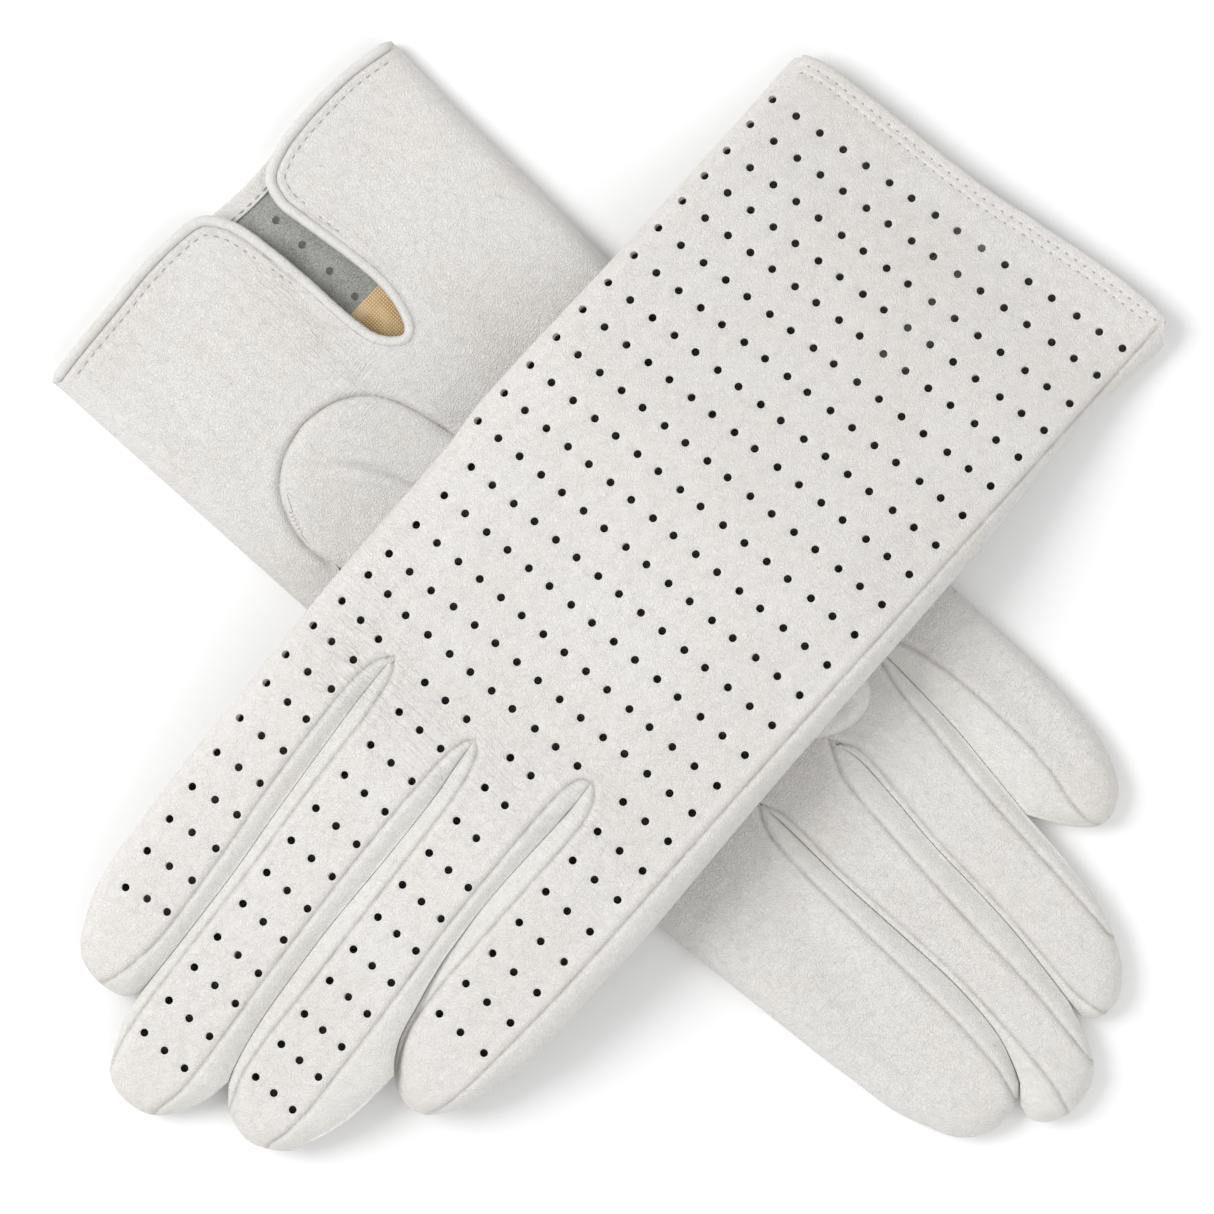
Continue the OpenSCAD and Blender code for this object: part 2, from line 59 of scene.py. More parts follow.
# right and left glove: by how much the inner edge of a perforation is smaller, and its shift across, mm
HOLE_TAPER, HOLE_SKEW = (0.32, 0.16), (0.0, -0.2)
RIM_PRESS = 0.14  # how far the punch presses the rim in, mm
RIM_RING, RIM_FREE, GRID_FREE = 0.28, 0.45, 0.75  # from a perforation's edge: extra points, borders, grid, mm
HAND_MARGIN, FINGER_MARGIN, BORDER_MARGIN = 1.3, 1.2, 1.36  # least distance of a perforation from an edge, mm
H = 6.6  # height of an empty hand, mm
EDGE_ROUND = 3.7  # how far in from a folded edge the leather curves over, mm
SEAM_WIDTH = 0.27  # mm
WELD = 0.004  # points nearer than this become one, mm
FAR = 99.0
FURROW_FREE = 2.7  # the grid of points stays this far from a furrow that has its own, mm
ROW_SHARE = 0.87  # distance of a triangular grid's rows, in steps of the grid
CHUNK = 4000  # points worked out at a time
THUMB_OPENING = (18.8, 56.5, 15.9, 15.3)  # ellipse cut from the palm under the thumb: centre, half sizes
KNUCKLE = (163.0, 172.0, 175.0, 172.0)  # hinge of each finger, mm from the cuff
SPLIT = (152.0, 161.0, 164.0, 161.0)  # where the finger pieces take over from the hand pieces
# plan offsets of the right glove's own axes in the row frame, from the CAD boxes
OX = -46.3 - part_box("right_palm")[0].x * 1000
OY = 235.8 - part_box("right_middle_palm")[1].y * 1000
CROSS = math.radians(-89.2)  # how the left glove is turned, and where its origin lies, mm
CROSS_AT = (-100.8, 105.3)

# ---------------------------------------------------------------- outlines, mm: (across, from cuff)
OUTER_LO = (
    [(-46.3, -6), (-46.3, 1), (-45.7, 10), (-45.1, 20), (-44.6, 40), (-43.7, 61), (-43.2, 100),
     (-42.9, 150), (-42.9, 171)],
    [(-44.3, -8), (-43.6, 3), (-42.5, 10), (-42.1, 19), (-42.5, 31), (-43.7, 50), (-44.3, 83),
     (-44.8, 110), (-45.5, 130), (-46.1, 145), (-46.1, 161)])
OUTER_HI = (
    [(45.9, -6), (45.6, 1.4), (45.2, 21), (44.6, 50), (44.4, 60), (43.8, 100), (42.9, 150),
     (42.7, 156), (41.9, 167)],
    [(45.4, -6), (45.4, 5.7), (45.1, 21), (45.0, 56), (45.3, 93), (44.3, 103), (43.9, 120),
     (43.3, 140), (42.5, 154), (41.8, 165)])
CROTCH = ([(-24.6, 146), (-5.4, 154), (12.6, 152)], [(-18.7, 132), (3.0, 141.1), (25.0, 139.8)])
VALLEY = (
    [[(-24.4, 155), (-23.5, 170), (-22.2, 180), (-20.7, 191)],
     [(-6.6, 160), (-5.7, 171), (-4.4, 182), (-3.7, 194), (-3.0, 203), (-1.6, 213), (-0.2, 221)],
     [(12.3, 158), (12.6, 173), (12.3, 190), (12.2, 201.5), (12.7, 209), (13.8, 216),
      (15.8, 221.5), (17.6, 225)]],
    [[(-19.2, 139), (-19.3, 160), (-20.4, 174), (-21.6, 181), (-22.8, 186), (-24.4, 192.5),
      (-26.4, 196.4), (-28.5, 199)],
     [(2.4, 147), (1.4, 154), (0.4, 169), (-0.4, 186), (-1.8, 201), (-3.2, 211), (-5.0, 218.6),
      (-6.0, 221.3)],
     [(24.7, 146), (24.4, 151), (23.4, 161), (21.8, 176), (20.1, 190), (18.9, 204),
      (17.9, 218.6)]])
# free end of each finger, from its little finger side over the tip to its index side
TIP = (
    [[(-42.5, 181), (-41.2, 190), (-39.6, 195), (-36.9, 200), (-33.8, 202.3), (-30.8, 203.1),
      (-28.5, 202.5), (-26.2, 200.4), (-23.8, 197), (-21.7, 193)],
     [(-19.8, 200), (-18.5, 209), (-16.9, 214.6), (-14.6, 220), (-11.5, 224.6), (-7.7, 227.5),
      (-4.6, 228.2), (-1.5, 227.3), (0.2, 225.2)],
     [(1.0, 224.4), (2.7, 228.5), (5.4, 233), (8.5, 235.2), (13.8, 236.1), (16.9, 235.5),
      (20.0, 233.5), (21.3, 230.8), (20.6, 228)],
     [(19.6, 226.6), (22.3, 227.5), (25.8, 227.8), (29.2, 226.8), (32.3, 224.6), (34.2, 222),
      (35.4, 218.8), (36.9, 214.6), (38.1, 210), (38.8, 203), (39.8, 194), (40.9, 180)]],
    [[(-46.0, 179), (-45.0, 184), (-43.6, 191), (-41.8, 196), (-39.6, 199), (-37.9, 200.7),
      (-34.6, 201.7), (-31.4, 200.9), (-29.4, 199.8)],
     [(-28.4, 204), (-27.9, 210), (-26.8, 215), (-25.4, 219), (-23.6, 223), (-20.7, 225.4),
      (-17.9, 226.8), (-15.7, 227.2), (-12.1, 226.4), (-9.3, 225), (-7.3, 222.8)],
     [(-5.4, 225.7), (-3.9, 230), (-1.8, 233.6), (0.7, 235.9), (3.2, 236.9), (6.4, 237.2),
      (9.6, 236.7), (11.8, 235.4), (13.2, 233.6), (15.4, 229.3), (16.8, 225.7), (17.5, 221.5)],
     [(18.3, 221), (20.0, 222.7), (22.5, 223.5), (25.0, 223.8), (27.9, 223.5), (30.7, 222.5),
      (32.9, 220.4), (35.0, 216.8), (36.8, 212.9), (38.2, 208.6), (39.1, 203), (39.6, 197),
      (40.7, 186), (41.4, 176)]])
# seams between a panel and its side strips, from the crotch to the fingertip
SEAM_LO = (
    [None,
     [(-21.6, 156), (-20.4, 166), (-18.1, 183), (-15.8, 209), (-14.6, 219)],
     [(-3.5, 157), (-1.9, 161), (-0.9, 168.5), (0.4, 182), (1.5, 194), (2.7, 213), (4.2, 224.6),
      (5.4, 232.5)],
     [(14.6, 155), (15.8, 159), (16.5, 170), (16.7, 183), (16.9, 198), (17.3, 209), (18.5, 220),
      (20.6, 226.6)]],
    [[(-40.7, -4), (-40.7, 28), (-40.7, 100), (-41.0, 130), (-41.3, 165), (-40.9, 179),
      (-40.4, 190), (-39.4, 197), (-37.9, 200.7)],
     [(-16.7, 133.2), (-15.7, 136.7), (-15.5, 143), (-16.1, 158), (-16.9, 171), (-18.6, 187),
      (-19.6, 197), (-20.4, 208), (-20.9, 215), (-20.6, 221), (-19.5, 225.6)],
     [(4.3, 142.7), (5.1, 147), (5.2, 153), (4.6, 170), (3.6, 184), (2.5, 197), (1.1, 211),
      (-0.1, 222), (-0.4, 229), (0.7, 235.2)],
     [(26.5, 141.7), (27.5, 145), (27.7, 151), (27.1, 161), (25.7, 176), (24.3, 186),
      (22.9, 199), (22.1, 208), (22.3, 214), (23.4, 220.6), (24.6, 223.4)]])
SEAM_HI = (
    [[(-28.0, 150), (-29.9, 158), (-30.7, 165), (-30.9, 180), (-30.0, 188.5), (-28.5, 194.6),
      (-27.8, 200), (-28.5, 202.4)],
     [(-7.9, 159), (-6.8, 171), (-5.5, 182), (-4.8, 194), (-4.1, 203), (-3.0, 213),
      (-2.2, 221), (-2.9, 227.5)],
     [(10.9, 157), (11.4, 173), (11.0, 190), (10.9, 202), (11.5, 212), (12.4, 222),
      (13.6, 230), (15.4, 235.7)],
     None],
    [[(-20.4, 133.2), (-22.0, 135.9), (-22.8, 140), (-23.1, 150), (-23.4, 172), (-23.7, 183),
      (-24.9, 191), (-28.4, 198.2), (-31.0, 200.8)],
     [(1.0, 142.7), (-0.5, 147), (-1.5, 153), (-2.5, 165), (-3.9, 183), (-5.0, 197),
      (-5.9, 211), (-7.1, 218.6), (-9.6, 225)],
     [(23.1, 142), (22.0, 147), (21.2, 153), (20.0, 169), (18.6, 183), (17.5, 197),
      (16.4, 211), (15.4, 222), (13.9, 230.5), (12.2, 235)],
     None])
# round the vent, the same in both gloves
VENT = [(-9.9, 4.8), (-9.2, 8), (-9.6, 12), (-10.2, 17), (-11, 24), (-11.3, 32), (-10.3, 37.6), (-8.6, 41.4),
        (-6.7, 42.5), (-4.6, 41.4), (-2.4, 38.2), (-1.6, 34), (-1.3, 28.6), (-1.2, 21), (-0.7, 12), (0.2, 5)]
CUFF_PALM = (
    [(-45.9, 1.8), (-36, -0.1), (-27, -0.5), (-19, -0.1), (-13.4, 1.3), (-11, 2.8)] + VENT
    + [(1.9, 0.9), (4.2, -1.6), (9, -2.7), (18, -3.1), (27, -2.5), (36, -2), (45.6, -1.2)],
    [(-43.6, -2.6), (-32, -4.5), (-19, -3.2), (-13.4, -0.4), (-11, 1.8)] + VENT
    + [(1.9, 1.9), (4.2, 0.2), (9, 0.4), (18, 1), (32, 2), (44.9, 4.8)])
CUFF_BACK = (
    [(-45.9, 1.3), (-27, -0.4), (-6, 0.4), (18, -2.4), (45.6, -1.3)],
    [(-43.9, -4.4), (-42.1, -5.7), (-39.3, -6.6), (-32, -6.3), (-21.4, -5.1), (-10, -3.4),
     (0, -1.8), (10, -0.9), (21.4, -0.2), (32, 0.5), (40, 1.4), (43.6, 2.5), (45.2, 3.9)])
# underside of the left glove
DRAPE = [(-12, 0.6), (0, 0.6), (5, 1.2), (70, 17.2), (76, 18.2), (82, 18.5), (137, 18.5),
         (143, 18.1), (149, 17.1), (185, 9.9)]
FALL = (0.27, 0.2, 0.2, 0.2)  # how steeply each of its fingers comes down to the table
# half width of the thumb: (from cuff, half width)
THUMB_HALF = [(39.3, 0.6), (39.8, 3.8), (41, 7.6), (44, 11.9), (48, 14.6), (54, 16.6), (60, 17.1),
              (75, 16.2), (90, 14.6), (101, 13.4), (115, 12.4), (130, 11.5), (140, 11),
              (146, 10.3), (150, 8.6), (153, 5.8), (154.6, 3.0), (155, 0.6)]
THUMB_SET_IN = 72  # up to this height the thumb is open to the palm, mm
FOLD_MESHED = 76  # up to this height the mesh has points along the thumb's fold, mm
THUMB_BEND, THUMB_LEAN = 58, 0.3214  # from this height on the thumb leans towards the little finger


def thumb_centre(y):
    return 18.8 - max(0.0, y - THUMB_BEND) * THUMB_LEAN


def smooth(t):
    t = np.clip(t, 0, 1)
    return t * t * (3 - 2 * t)


def table(y, rows):
    """Piecewise linear value of a table, softened a little at its corners."""
    a, b = zip(*rows)
    return sum(np.interp(np.asarray(y, float) + d, a, b) * w
               for d, w in ((-4, 0.15), (-2, 0.2), (0, 0.3), (2, 0.2), (4, 0.15)))


def curve(points, step=0.9):
    """A smooth line through the points, sampled at about that step."""
    p = np.array(points, float)
    if len(p) == 2:
        n = max(2, int(np.linalg.norm(p[1] - p[0]) / step) + 1)
        return p[0] + (p[1] - p[0]) * np.linspace(0, 1, n)[:, None]
    ext = np.vstack([2 * p[0] - p[1], p, 2 * p[-1] - p[-2]])
    out = []
    for i in range(1, len(ext) - 2):
        a, b, c, d = ext[i - 1:i + 3]
        seg = np.linalg.norm(c - b)
        m0 = (c - a) * seg / max(np.linalg.norm(c - b) + np.linalg.norm(b - a), 1e-9)
        m1 = (d - b) * seg / max(np.linalg.norm(d - c) + np.linalg.norm(c - b), 1e-9)
        n = max(2, int(seg / (step / 4)))
        t = np.linspace(0, 1, n, endpoint=False)[:, None]
        out.append((2 * t**3 - 3 * t**2 + 1) * b + (t**3 - 2 * t**2 + t) * m0
                   + (-2 * t**3 + 3 * t**2) * c + (t**3 - t**2) * m1)
    fine = np.vstack(out + [p[-1:]])
    s = np.concatenate([[0], np.cumsum(np.linalg.norm(np.diff(fine, axis=0), axis=1))])
    n = max(2, int(round(s[-1] / step)) + 1)
    at = np.linspace(0, s[-1], n)
    return np.column_stack([np.interp(at, s, fine[:, k]) for k in (0, 1)])


_half = [(a, y) for y, a in THUMB_HALF if y < THUMB_SET_IN]
THUMB_OVAL = curve([(thumb_centre(y) - a, y) for a, y in _half[::-1]]
                   + [(thumb_centre(y) + a, y) for a, y in _half])
THUMB_OUTLINE = np.vstack([curve([(thumb_centre(y) + a, y) for y, a in THUMB_HALF], 1.0),
                           curve([(thumb_centre(y) - a, y) for y, a in THUMB_HALF], 1.0)[::-1]])


def unit_tangents(line):
    tan = np.gradient(line, axis=0)
    return tan / np.maximum(np.linalg.norm(tan, axis=1), 1e-9)[:, None]


def left_of(line):
    """Unit vectors to the left of a plan line."""
    tan = unit_tangents(line)
    return np.column_stack([-tan[:, 1], tan[:, 0]])


def cross_at(line, y, first=True):
    """The line with a point added where it crosses y, and that point's place in it."""
    for i in (range(len(line) - 1) if first else range(len(line) - 2, -1, -1)):
        a, b = line[i], line[i + 1]
        if (a[1] - y) * (b[1] - y) <= 0 and a[1] != b[1]:
            t = (y - a[1]) / (b[1] - a[1])
            if t < 0.02:
                line = line.copy()
                line[i] = a + (b - a) * t
                return line, i
            if t > 0.98:
                line = line.copy()
                line[i + 1] = a + (b - a) * t
                return line, i + 1
            return np.vstack([line[:i + 1], a + (b - a) * t, line[i + 1:]]), i + 1
    raise ValueError(f"no crossing at {y}")


def nearest(line, p):
    return int(np.linalg.norm(line - p, axis=1).argmin())


def place(line, y, last=False):
    """The place in a line of its point at the height y."""
    return int(np.flatnonzero(np.isclose(line[:, 1], y, atol=1e-6))[-1 if last else 0])


class Glove:
    """The plan lines of one glove, shared by all its pieces so that their borders agree."""

    def __init__(self, s):
        self.full, self.lo, self.hi = [], [], []
        for f in range(4):
            left = OUTER_LO[s] if f == 0 else [CROTCH[s][f - 1]] + VALLEY[s][f - 1]
            right = OUTER_HI[s] if f == 3 else [CROTCH[s][f]] + VALLEY[s][f]
            parts = [curve(left), curve(TIP[s][f]), curve(right)[::-1]]
            if f > 0:
                parts[0] = parts[0] + [0.03, 0] * smooth((parts[0][:, 1:] - CROTCH[s][f - 1][1]) / 6)
            if f < 3:
                parts[2] = parts[2] - [0.03, 0] * smooth((parts[2][:, 1:] - CROTCH[s][f][1]) / 6)
            join = [parts[0]]
            for k in (1, 2):
                a, b = join[-1][-1], parts[k][0]
                if np.linalg.norm(b - a) > 1.4:
                    join.append(curve([a, b])[1:-1])
                join.append(parts[k])
            self.full.append(np.vstack(join))
        for f in range(4):
            lo, hi = SEAM_LO[s][f], SEAM_HI[s][f]
            if s == RIGHT and f == 0:
                lo = [(x, y - 3) if i == 0 else (x + 2.0, y + 1.2) for i, (x, y) in
                      enumerate(SEAM_LO[LEFT][0])]
                lo[-1] = (-35.6, 201.3)
            self.lo.append(self.seam(f, [CROTCH[s][f - 1]] if f else [], lo))
            self.hi.append(self.seam(f, CROTCH[s][f:f + 1], hi))
        self.full[0], _ = cross_at(self.full[0], SPLIT[0])
        self.full[3], _ = cross_at(self.full[3], SPLIT[3], first=False)
        self.cuff = {"palm": curve(CUFF_PALM[s]), "back": curve(CUFF_BACK[s])}
        # lines that the leather rounds down to: (line, crotch height or None)
        self.edges = []
        for f in range(4):
            n = len(self.full[f])
            top = int(self.full[f][:, 1].argmax())
            for part, g in ((self.full[f][:top + 1], f - 1), (self.full[f][top:], f)):
                self.edges.append((part, None if g in (-1, 3) else CROTCH[s][g][1]))
        self.seams = [l for l in self.lo[1:] + self.hi if l is not None]
        self.outer_seam = self.lo[0]

    def seam(self, f, crotch, points):
        """A seam from the crotch, where it starts at one, to the edge of the finger."""
        if points is None:
            return None
        line = curve(crotch + list(points))
        line[-1] = self.full[f][nearest(self.full[f], line[-1])]
        return cross_at(line, SPLIT[f])[0]

    def seam_start(self):
        """Where the outer seam meets the back's cuff."""
        x, cuff = self.outer_seam[0][0], self.cuff["back"]
        return np.array([x, np.interp(x, cuff[:, 0], cuff[:, 1])])

    def edge_at_cuff(self, low, cuff):
        """An outer edge, cut where the cuff line meets it."""
        line = self.full[0] if low else self.full[3][::-1]
        end = cuff[0] if low else cuff[-1]
        keep = line[line[:, 1] > end[1] + 0.5]
        return np.vstack([[end], keep])

    def hand(self, side):
        """Outline of the hand part, counter-clockwise."""
        cuff = self.cuff[side]
        a = self.edge_at_cuff(True, cuff)
        b = self.edge_at_cuff(False, cuff)
        if side == "back":
            # the back stops at the seam that lies inside the little finger edge
            seam = self.outer_seam
            start = self.seam_start()
            cuff = cuff[cuff[:, 0] > start[0] + 0.5]
            seam = np.vstack([[start], seam[seam[:, 1] > start[1] + 0.5]])
            cuff = np.vstack([[start], cuff])
            a = seam
        out = [cuff]
        i = place(b, SPLIT[3])
        out.append(b[1:i + 1])
        here = b[i]
        for f in (3, 2, 1):
            lo = self.lo[f]
            j = place(lo, SPLIT[f])
            out.append(curve([here, lo[j]])[1:-1])
            out.append(lo[:j + 1][::-1])
            hi = self.hi[f - 1]
            k = place(hi, SPLIT[f - 1])
            out.append(hi[1:k + 1])
            here = hi[k]
        j = place(a, SPLIT[0])
        out.append(curve([here, a[j]])[1:-1])
        out.append(a[1:j + 1][::-1])
        return np.vstack(out)

    def finger(self, f, side):
        full = self.full[f]
        if f == 0 and side == "palm":
            j = place(full, SPLIT[0])
            left, e0 = full[j:j + 1], j
        else:
            lo = self.lo[f]
            j = place(lo, SPLIT[f])
            left, e0 = lo[j:], nearest(full, lo[-1])
        if f == 3:
            k = place(full, SPLIT[3], last=True)
            right, e1 = full[k:k + 1], k
        else:
            hi = self.hi[f]
            k = place(hi, SPLIT[f])
            right, e1 = hi[k:][::-1], nearest(full, hi[-1])
        line = [left, full[e0 + 1:e1], right, curve([right[-1], left[0]])[1:-1]]
        if f == 3:
            line = [left, full[e0 + 1:e1 + 1], curve([full[e1], left[0]])[1:-1]]
        return np.vstack(line)[::-1]

    def strip(self, f, low):
        full = self.full[f]
        seam = self.lo[f] if low else self.hi[f]
        e = nearest(full, seam[-1])
        if low:
            return np.vstack([seam[:-1], full[1:e + 1][::-1]])
        return np.vstack([seam[:-1], full[e:-1]])[::-1]

    def wrap(self, part):
        """The palm's strip that comes round the little finger edge on to the back."""
        seam, full = self.outer_seam, self.full[0]
        js = place(seam, SPLIT[0])
        jf = place(full, SPLIT[0])
        if part == "hand":
            start = self.seam_start()
            edge = self.edge_at_cuff(True, self.cuff["palm"])
            end = edge[0]
            je = place(edge, SPLIT[0])
            beyond = seam[:js + 1]
            beyond = beyond[beyond[:, 1] > start[1] + 0.5]
            return np.vstack([curve([end, start])[:-1], [start], beyond,
                              curve([seam[js], full[jf]])[1:-1], edge[1:je + 1][::-1]])
        e = nearest(full, seam[-1])
        return np.vstack([curve([full[jf], seam[js]])[:-1], seam[js:-1], full[jf + 1:e + 1][::-1]])


GLOVES = (Glove(RIGHT), Glove(LEFT))


# ---------------------------------------------------------------- fields over the plan
def segments_distance(p, line):
    """Distance of each point to a line, and the height from the cuff where it is nearest."""
    lo, hi = p.min(0) - 9, p.max(0) + 9
    a, b = line[:-1], line[1:]
    keep = ((np.maximum(a, b) > lo) & (np.minimum(a, b) < hi)).all(1)
    a, b = a[keep], b[keep]
    best = np.full(len(p), FAR)
    at = np.zeros(len(p))
    if not len(a):
        return best, at
    for s in range(0, len(p), CHUNK):
        q = p[s:s + CHUNK, None]
        d = b - a
        t = np.clip(((q - a) * d).sum(2) / np.maximum((d * d).sum(1), 1e-12), 0, 1)
        c = a + t[..., None] * d
        r = np.linalg.norm(q - c, axis=2)
        k = r.argmin(1)
        i = np.arange(len(k))
        best[s:s + CHUNK] = r[i, k]
        at[s:s + CHUNK] = c[i, k, 1]
    return best, at


def lattice(ix, iy, seed):
    n = (ix * 374761393 + iy * 668265263 + seed * 974634777) & 0xFFFFFFFF
    n = ((n ^ (n >> 13)) * 1274126177) & 0xFFFFFFFF
    return ((n ^ (n >> 16)) & 0xFFFF) / 32767.5 - 1


def noise(x, y, seed):
    ix, iy = np.floor(x).astype(np.int64), np.floor(y).astype(np.int64)
    fx, fy = x - ix, y - iy
    u, v = fx * fx * (3 - 2 * fx), fy * fy * (3 - 2 * fy)
    a = lattice(ix, iy, seed) * (1 - u) + lattice(ix + 1, iy, seed) * u
    b = lattice(ix, iy + 1, seed) * (1 - u) + lattice(ix + 1, iy + 1, seed) * u
    return a * (1 - v) + b * v


def turned(x, y, deg):
    c, s = math.cos(math.radians(deg)), math.sin(math.radians(deg))
    return x * c + y * s, -x * s + y * c


# patches of drawn-up leather: (glove, centre, half sizes, turned by, across, along, depth)
WRINKLES = (
    (RIGHT, (28, 190), (13, 36), 8, 12, 3.4, 0.10),
    (RIGHT, (29, 160), (12, 8), 0, 4.0, 9, 0.10),
    (RIGHT, (7, 190), (8, 36), 5, 8, 3.6, 0.07),
    (RIGHT, (4, 162), (8, 8), 0, 4.0, 8, 0.10),
    (RIGHT, (-12, 190), (7, 34), 8, 8, 3.8, 0.07),
    (RIGHT, (-37, 178), (6, 22), 0, 7, 3.6, 0.12),
    (RIGHT, (-16, 30), (5, 20), 4, 3.4, 17, 0.10),
    (RIGHT, (-30, 10), (14, 8), 20, 3.6, 12, 0.06),
    (RIGHT, (5, 26), (5, 18), -6, 4.0, 15, 0.24),
    (RIGHT, (6, 42), (12, 6), 30, 13, 3.6, 0.16),
    (RIGHT, (-20, 54), (16, 12), 0, 10, 5.0, 0.05),
    (LEFT, (-20, 140), (20, 14), 0, 12, 3.6, 0.13),
    (LEFT, (4, 148), (18, 12), 0, 12, 3.6, 0.13),
    (LEFT, (26, 146), (18, 12), 0, 12, 3.6, 0.17),
    (LEFT, (40, 126), (9, 34), 20, 10, 4.0, 0.12),
    (LEFT, (-36, 60), (9, 60), -14, 10, 4.4, 0.08),
    (LEFT, (-36, 170), (9, 26), 0, 8, 3.8, 0.09),
    (LEFT, (0, 205), (42, 20), -5, 9, 3.6, 0.07),
    (LEFT, (0, 14), (44, 12), 0, 9, 5, 0.05),
)
# soft hollows along an empty glove: (glove, from, to, depth, half width)
HOLLOWS = (
    (RIGHT, (20, 158), (31, 212), 0.9, 4.5),
    (RIGHT, (-38, 160), (-34, 190), 0.6, 2.6),
    (RIGHT, (2, 165), (9, 215), 0.35, 3.0),
    (RIGHT, (-14, 168), (-10, 210), 0.3, 2.6),
    (RIGHT, (-26, 44), (-18, 76), 0.4, 6.0),
    (LEFT, (-30, 90), (-26, 150), 0.35, 7.0),
    (LEFT, (30, 40), (24, 110), 0.35, 8.0),
)


def leather(s, x, y):
    """Low swells and drawn-up wrinkles, mm."""
    z = 0.3 * noise(x / 19 + 3 * s, y / 24, 5 + s) + 0.12 * noise(x / 7, y / 8, 9 + s)
    z += 0.05 * noise(x / 3.6, y / 3.4, 31 + s)
    for g, (cx, cy), (a, b), deg, across, along, depth in WRINKLES:
        if g != s:
            continue
        u, v = turned(x - cx, y - cy, deg)
        mask = np.exp(-((u / a) ** 2 + (v / b) ** 2))
        w = noise(u / across + 0.6 * noise(u / 9, v / 9, 3), v / along, int(cx * 7 + cy))
        z += depth * mask * (np.abs(w) * 2 - 0.8)
    for g, a, b, depth, wide in HOLLOWS:
        if g == s:
            a, d = np.array(a, float), np.subtract(b, a).astype(float)
            t = ((x - a[0]) * d[0] + (y - a[1]) * d[1]) / (d @ d)
            off = np.hypot(x - a[0] - t * d[0], y - a[1] - t * d[1])
            z -= depth * np.exp(-(off / wide) ** 2) * smooth((t + 0.2) / 0.4) * smooth((1.2 - t) / 0.4)
    return z


def base(s, f, x, y):
    """Height of the underside: the table, or the right glove under the left one."""
    if s == RIGHT:
        return np.zeros_like(y)
    b = table(y, DRAPE)
    if f is not None:
        k = KNUCKLE[f]
        bk = float(table(np.array([k]), DRAPE)[0])
        lean = np.maximum(0.6, bk - FALL[f] * (y - k))
        b = np.where(y > k, lean, b)
    sag = 2.0 * smooth((np.abs(x) - 24) / 22) * np.clip((b - 0.6) / 17.9, 0, 1)
    return b - sag


def thick(y):
    return H * (0.74 + 0.26 * smooth((y + 4) / 34))


def draw_in(x, y):
    """How much nearer to the binding its sewn band lies towards the end of the vent."""
    return 1 + 0.6 * smooth((y - 6) / 22) * smooth((16 - np.abs(x + 5)) / 6)


def bumps(d, *waves):
    """A sum of round ridges (height, at what distance, how wide)."""
    return sum(h * np.exp(-((d - c) / w) ** 2) for h, c, w in waves)


def height(s, f, top, x, y):
    """Outer surface of the upper or lower layer at plan points, mm, and how near each is to a seam, which the
    material uses to paint shade along the seam grooves.
    """
    g = GLOVES[s]
    p = np.column_stack([x, y])
    t = thick(y)
    b = base(s, f, x, y)
    prof = np.ones(len(p))
    inset = np.full(len(p), FAR)
    meet = np.full(len(p), 0.5)  # height share at which upper and lower layer meet
    for k, (line, crotch) in enumerate(g.edges):
        if f is not None and k // 2 != f:
            continue
        d, at = segments_distance(p, line)
        q = np.sqrt(np.maximum(0, 1 - (1 - np.minimum(d / EDGE_ROUND, 1)) ** 2))
        crown = d
        level = np.full(len(p), 0.5)
        if crotch is not None:
            crown = d + 8 * (1 - smooth((at - crotch) / 16))
            end = line[:, 1].max()
            level = 0.5 + 0.2 * smooth((end - at) / 13) + 0.27 * (1 - smooth((at - crotch) / 13))
        inset = np.minimum(inset, crown)
        better = q < prof
        prof = np.where(better, q, prof)
        meet = np.where(better, level, meet)
    seam = np.full(len(p), FAR)
    for line in g.seams + [g.outer_seam] * int(top == (s == LEFT)):
        seam = np.minimum(seam, segments_distance(p, line)[0])
    dip = bumps(seam, (-0.4, 0, 0.36), (0.2, 1.4, 0.8))
    if top and s == RIGHT:
        cuff = segments_distance(p, g.cuff["palm"])[0] * draw_in(x, y)
        dip = dip + bumps(cuff, (-0.4, 1.05, 0.3), (0.3, 1.85, 0.5), (-0.2, 2.75, 0.35), (0.08, 3.8, 0.8))
        oval = segments_distance(p, THUMB_OVAL)[0]
        dip = dip + bumps(oval, (-0.6, 0, 0.5), (0.22, 1.7, 1.1))
        seam = np.minimum(seam, oval)
    if top and s == LEFT:
        cuff = segments_distance(p, g.cuff["back"])[0]
        dip = dip + bumps(cuff, (0.1, 0.8, 0.6), (-0.12, 1.6, 0.3), (0.16, 2.3, 0.5), (-0.22, 3.1, 0.35),
                          (0.07, 4.1, 0.8))
    soft = smooth(prof * 1.6)
    mid = b + t * meet
    if top:
        crown = -0.8 * (1 - np.minimum(inset / 8, 1)) ** 2
        z = mid + (b + t - mid) * prof + (leather(s, x, y) + dip + crown) * soft
        z = np.minimum(z, b + H + 0.5)
    else:
        z = mid + (b - mid) * prof - dip * soft * 0.8
        if s == RIGHT:
            z = z + 0.9 * np.exp(-((x + 5) / 24) ** 2) * smooth((y - 1) / 8) * smooth((70 - y) / 30)
        if s == LEFT:
            z = z + 0.4 * leather(s, x + 90, y) * soft
    return z, np.exp(-(seam / SEAM_WIDTH) ** 2)


# ---------------------------------------------------------------- patches to meshes
def inside(p, poly):
    x, y = p[:, 0][:, None], p[:, 1][:, None]
    a, b = poly, np.roll(poly, -1, 0)
    rise = np.where(b[:, 1] == a[:, 1], 1e-12, b[:, 1] - a[:, 1])
    crossed = (a[:, 1] > y) != (b[:, 1] > y)
    hit = crossed & (x < (b[:, 0] - a[:, 0]) * (y - a[:, 1]) / rise + a[:, 0])
    return hit.sum(1) % 2 == 1


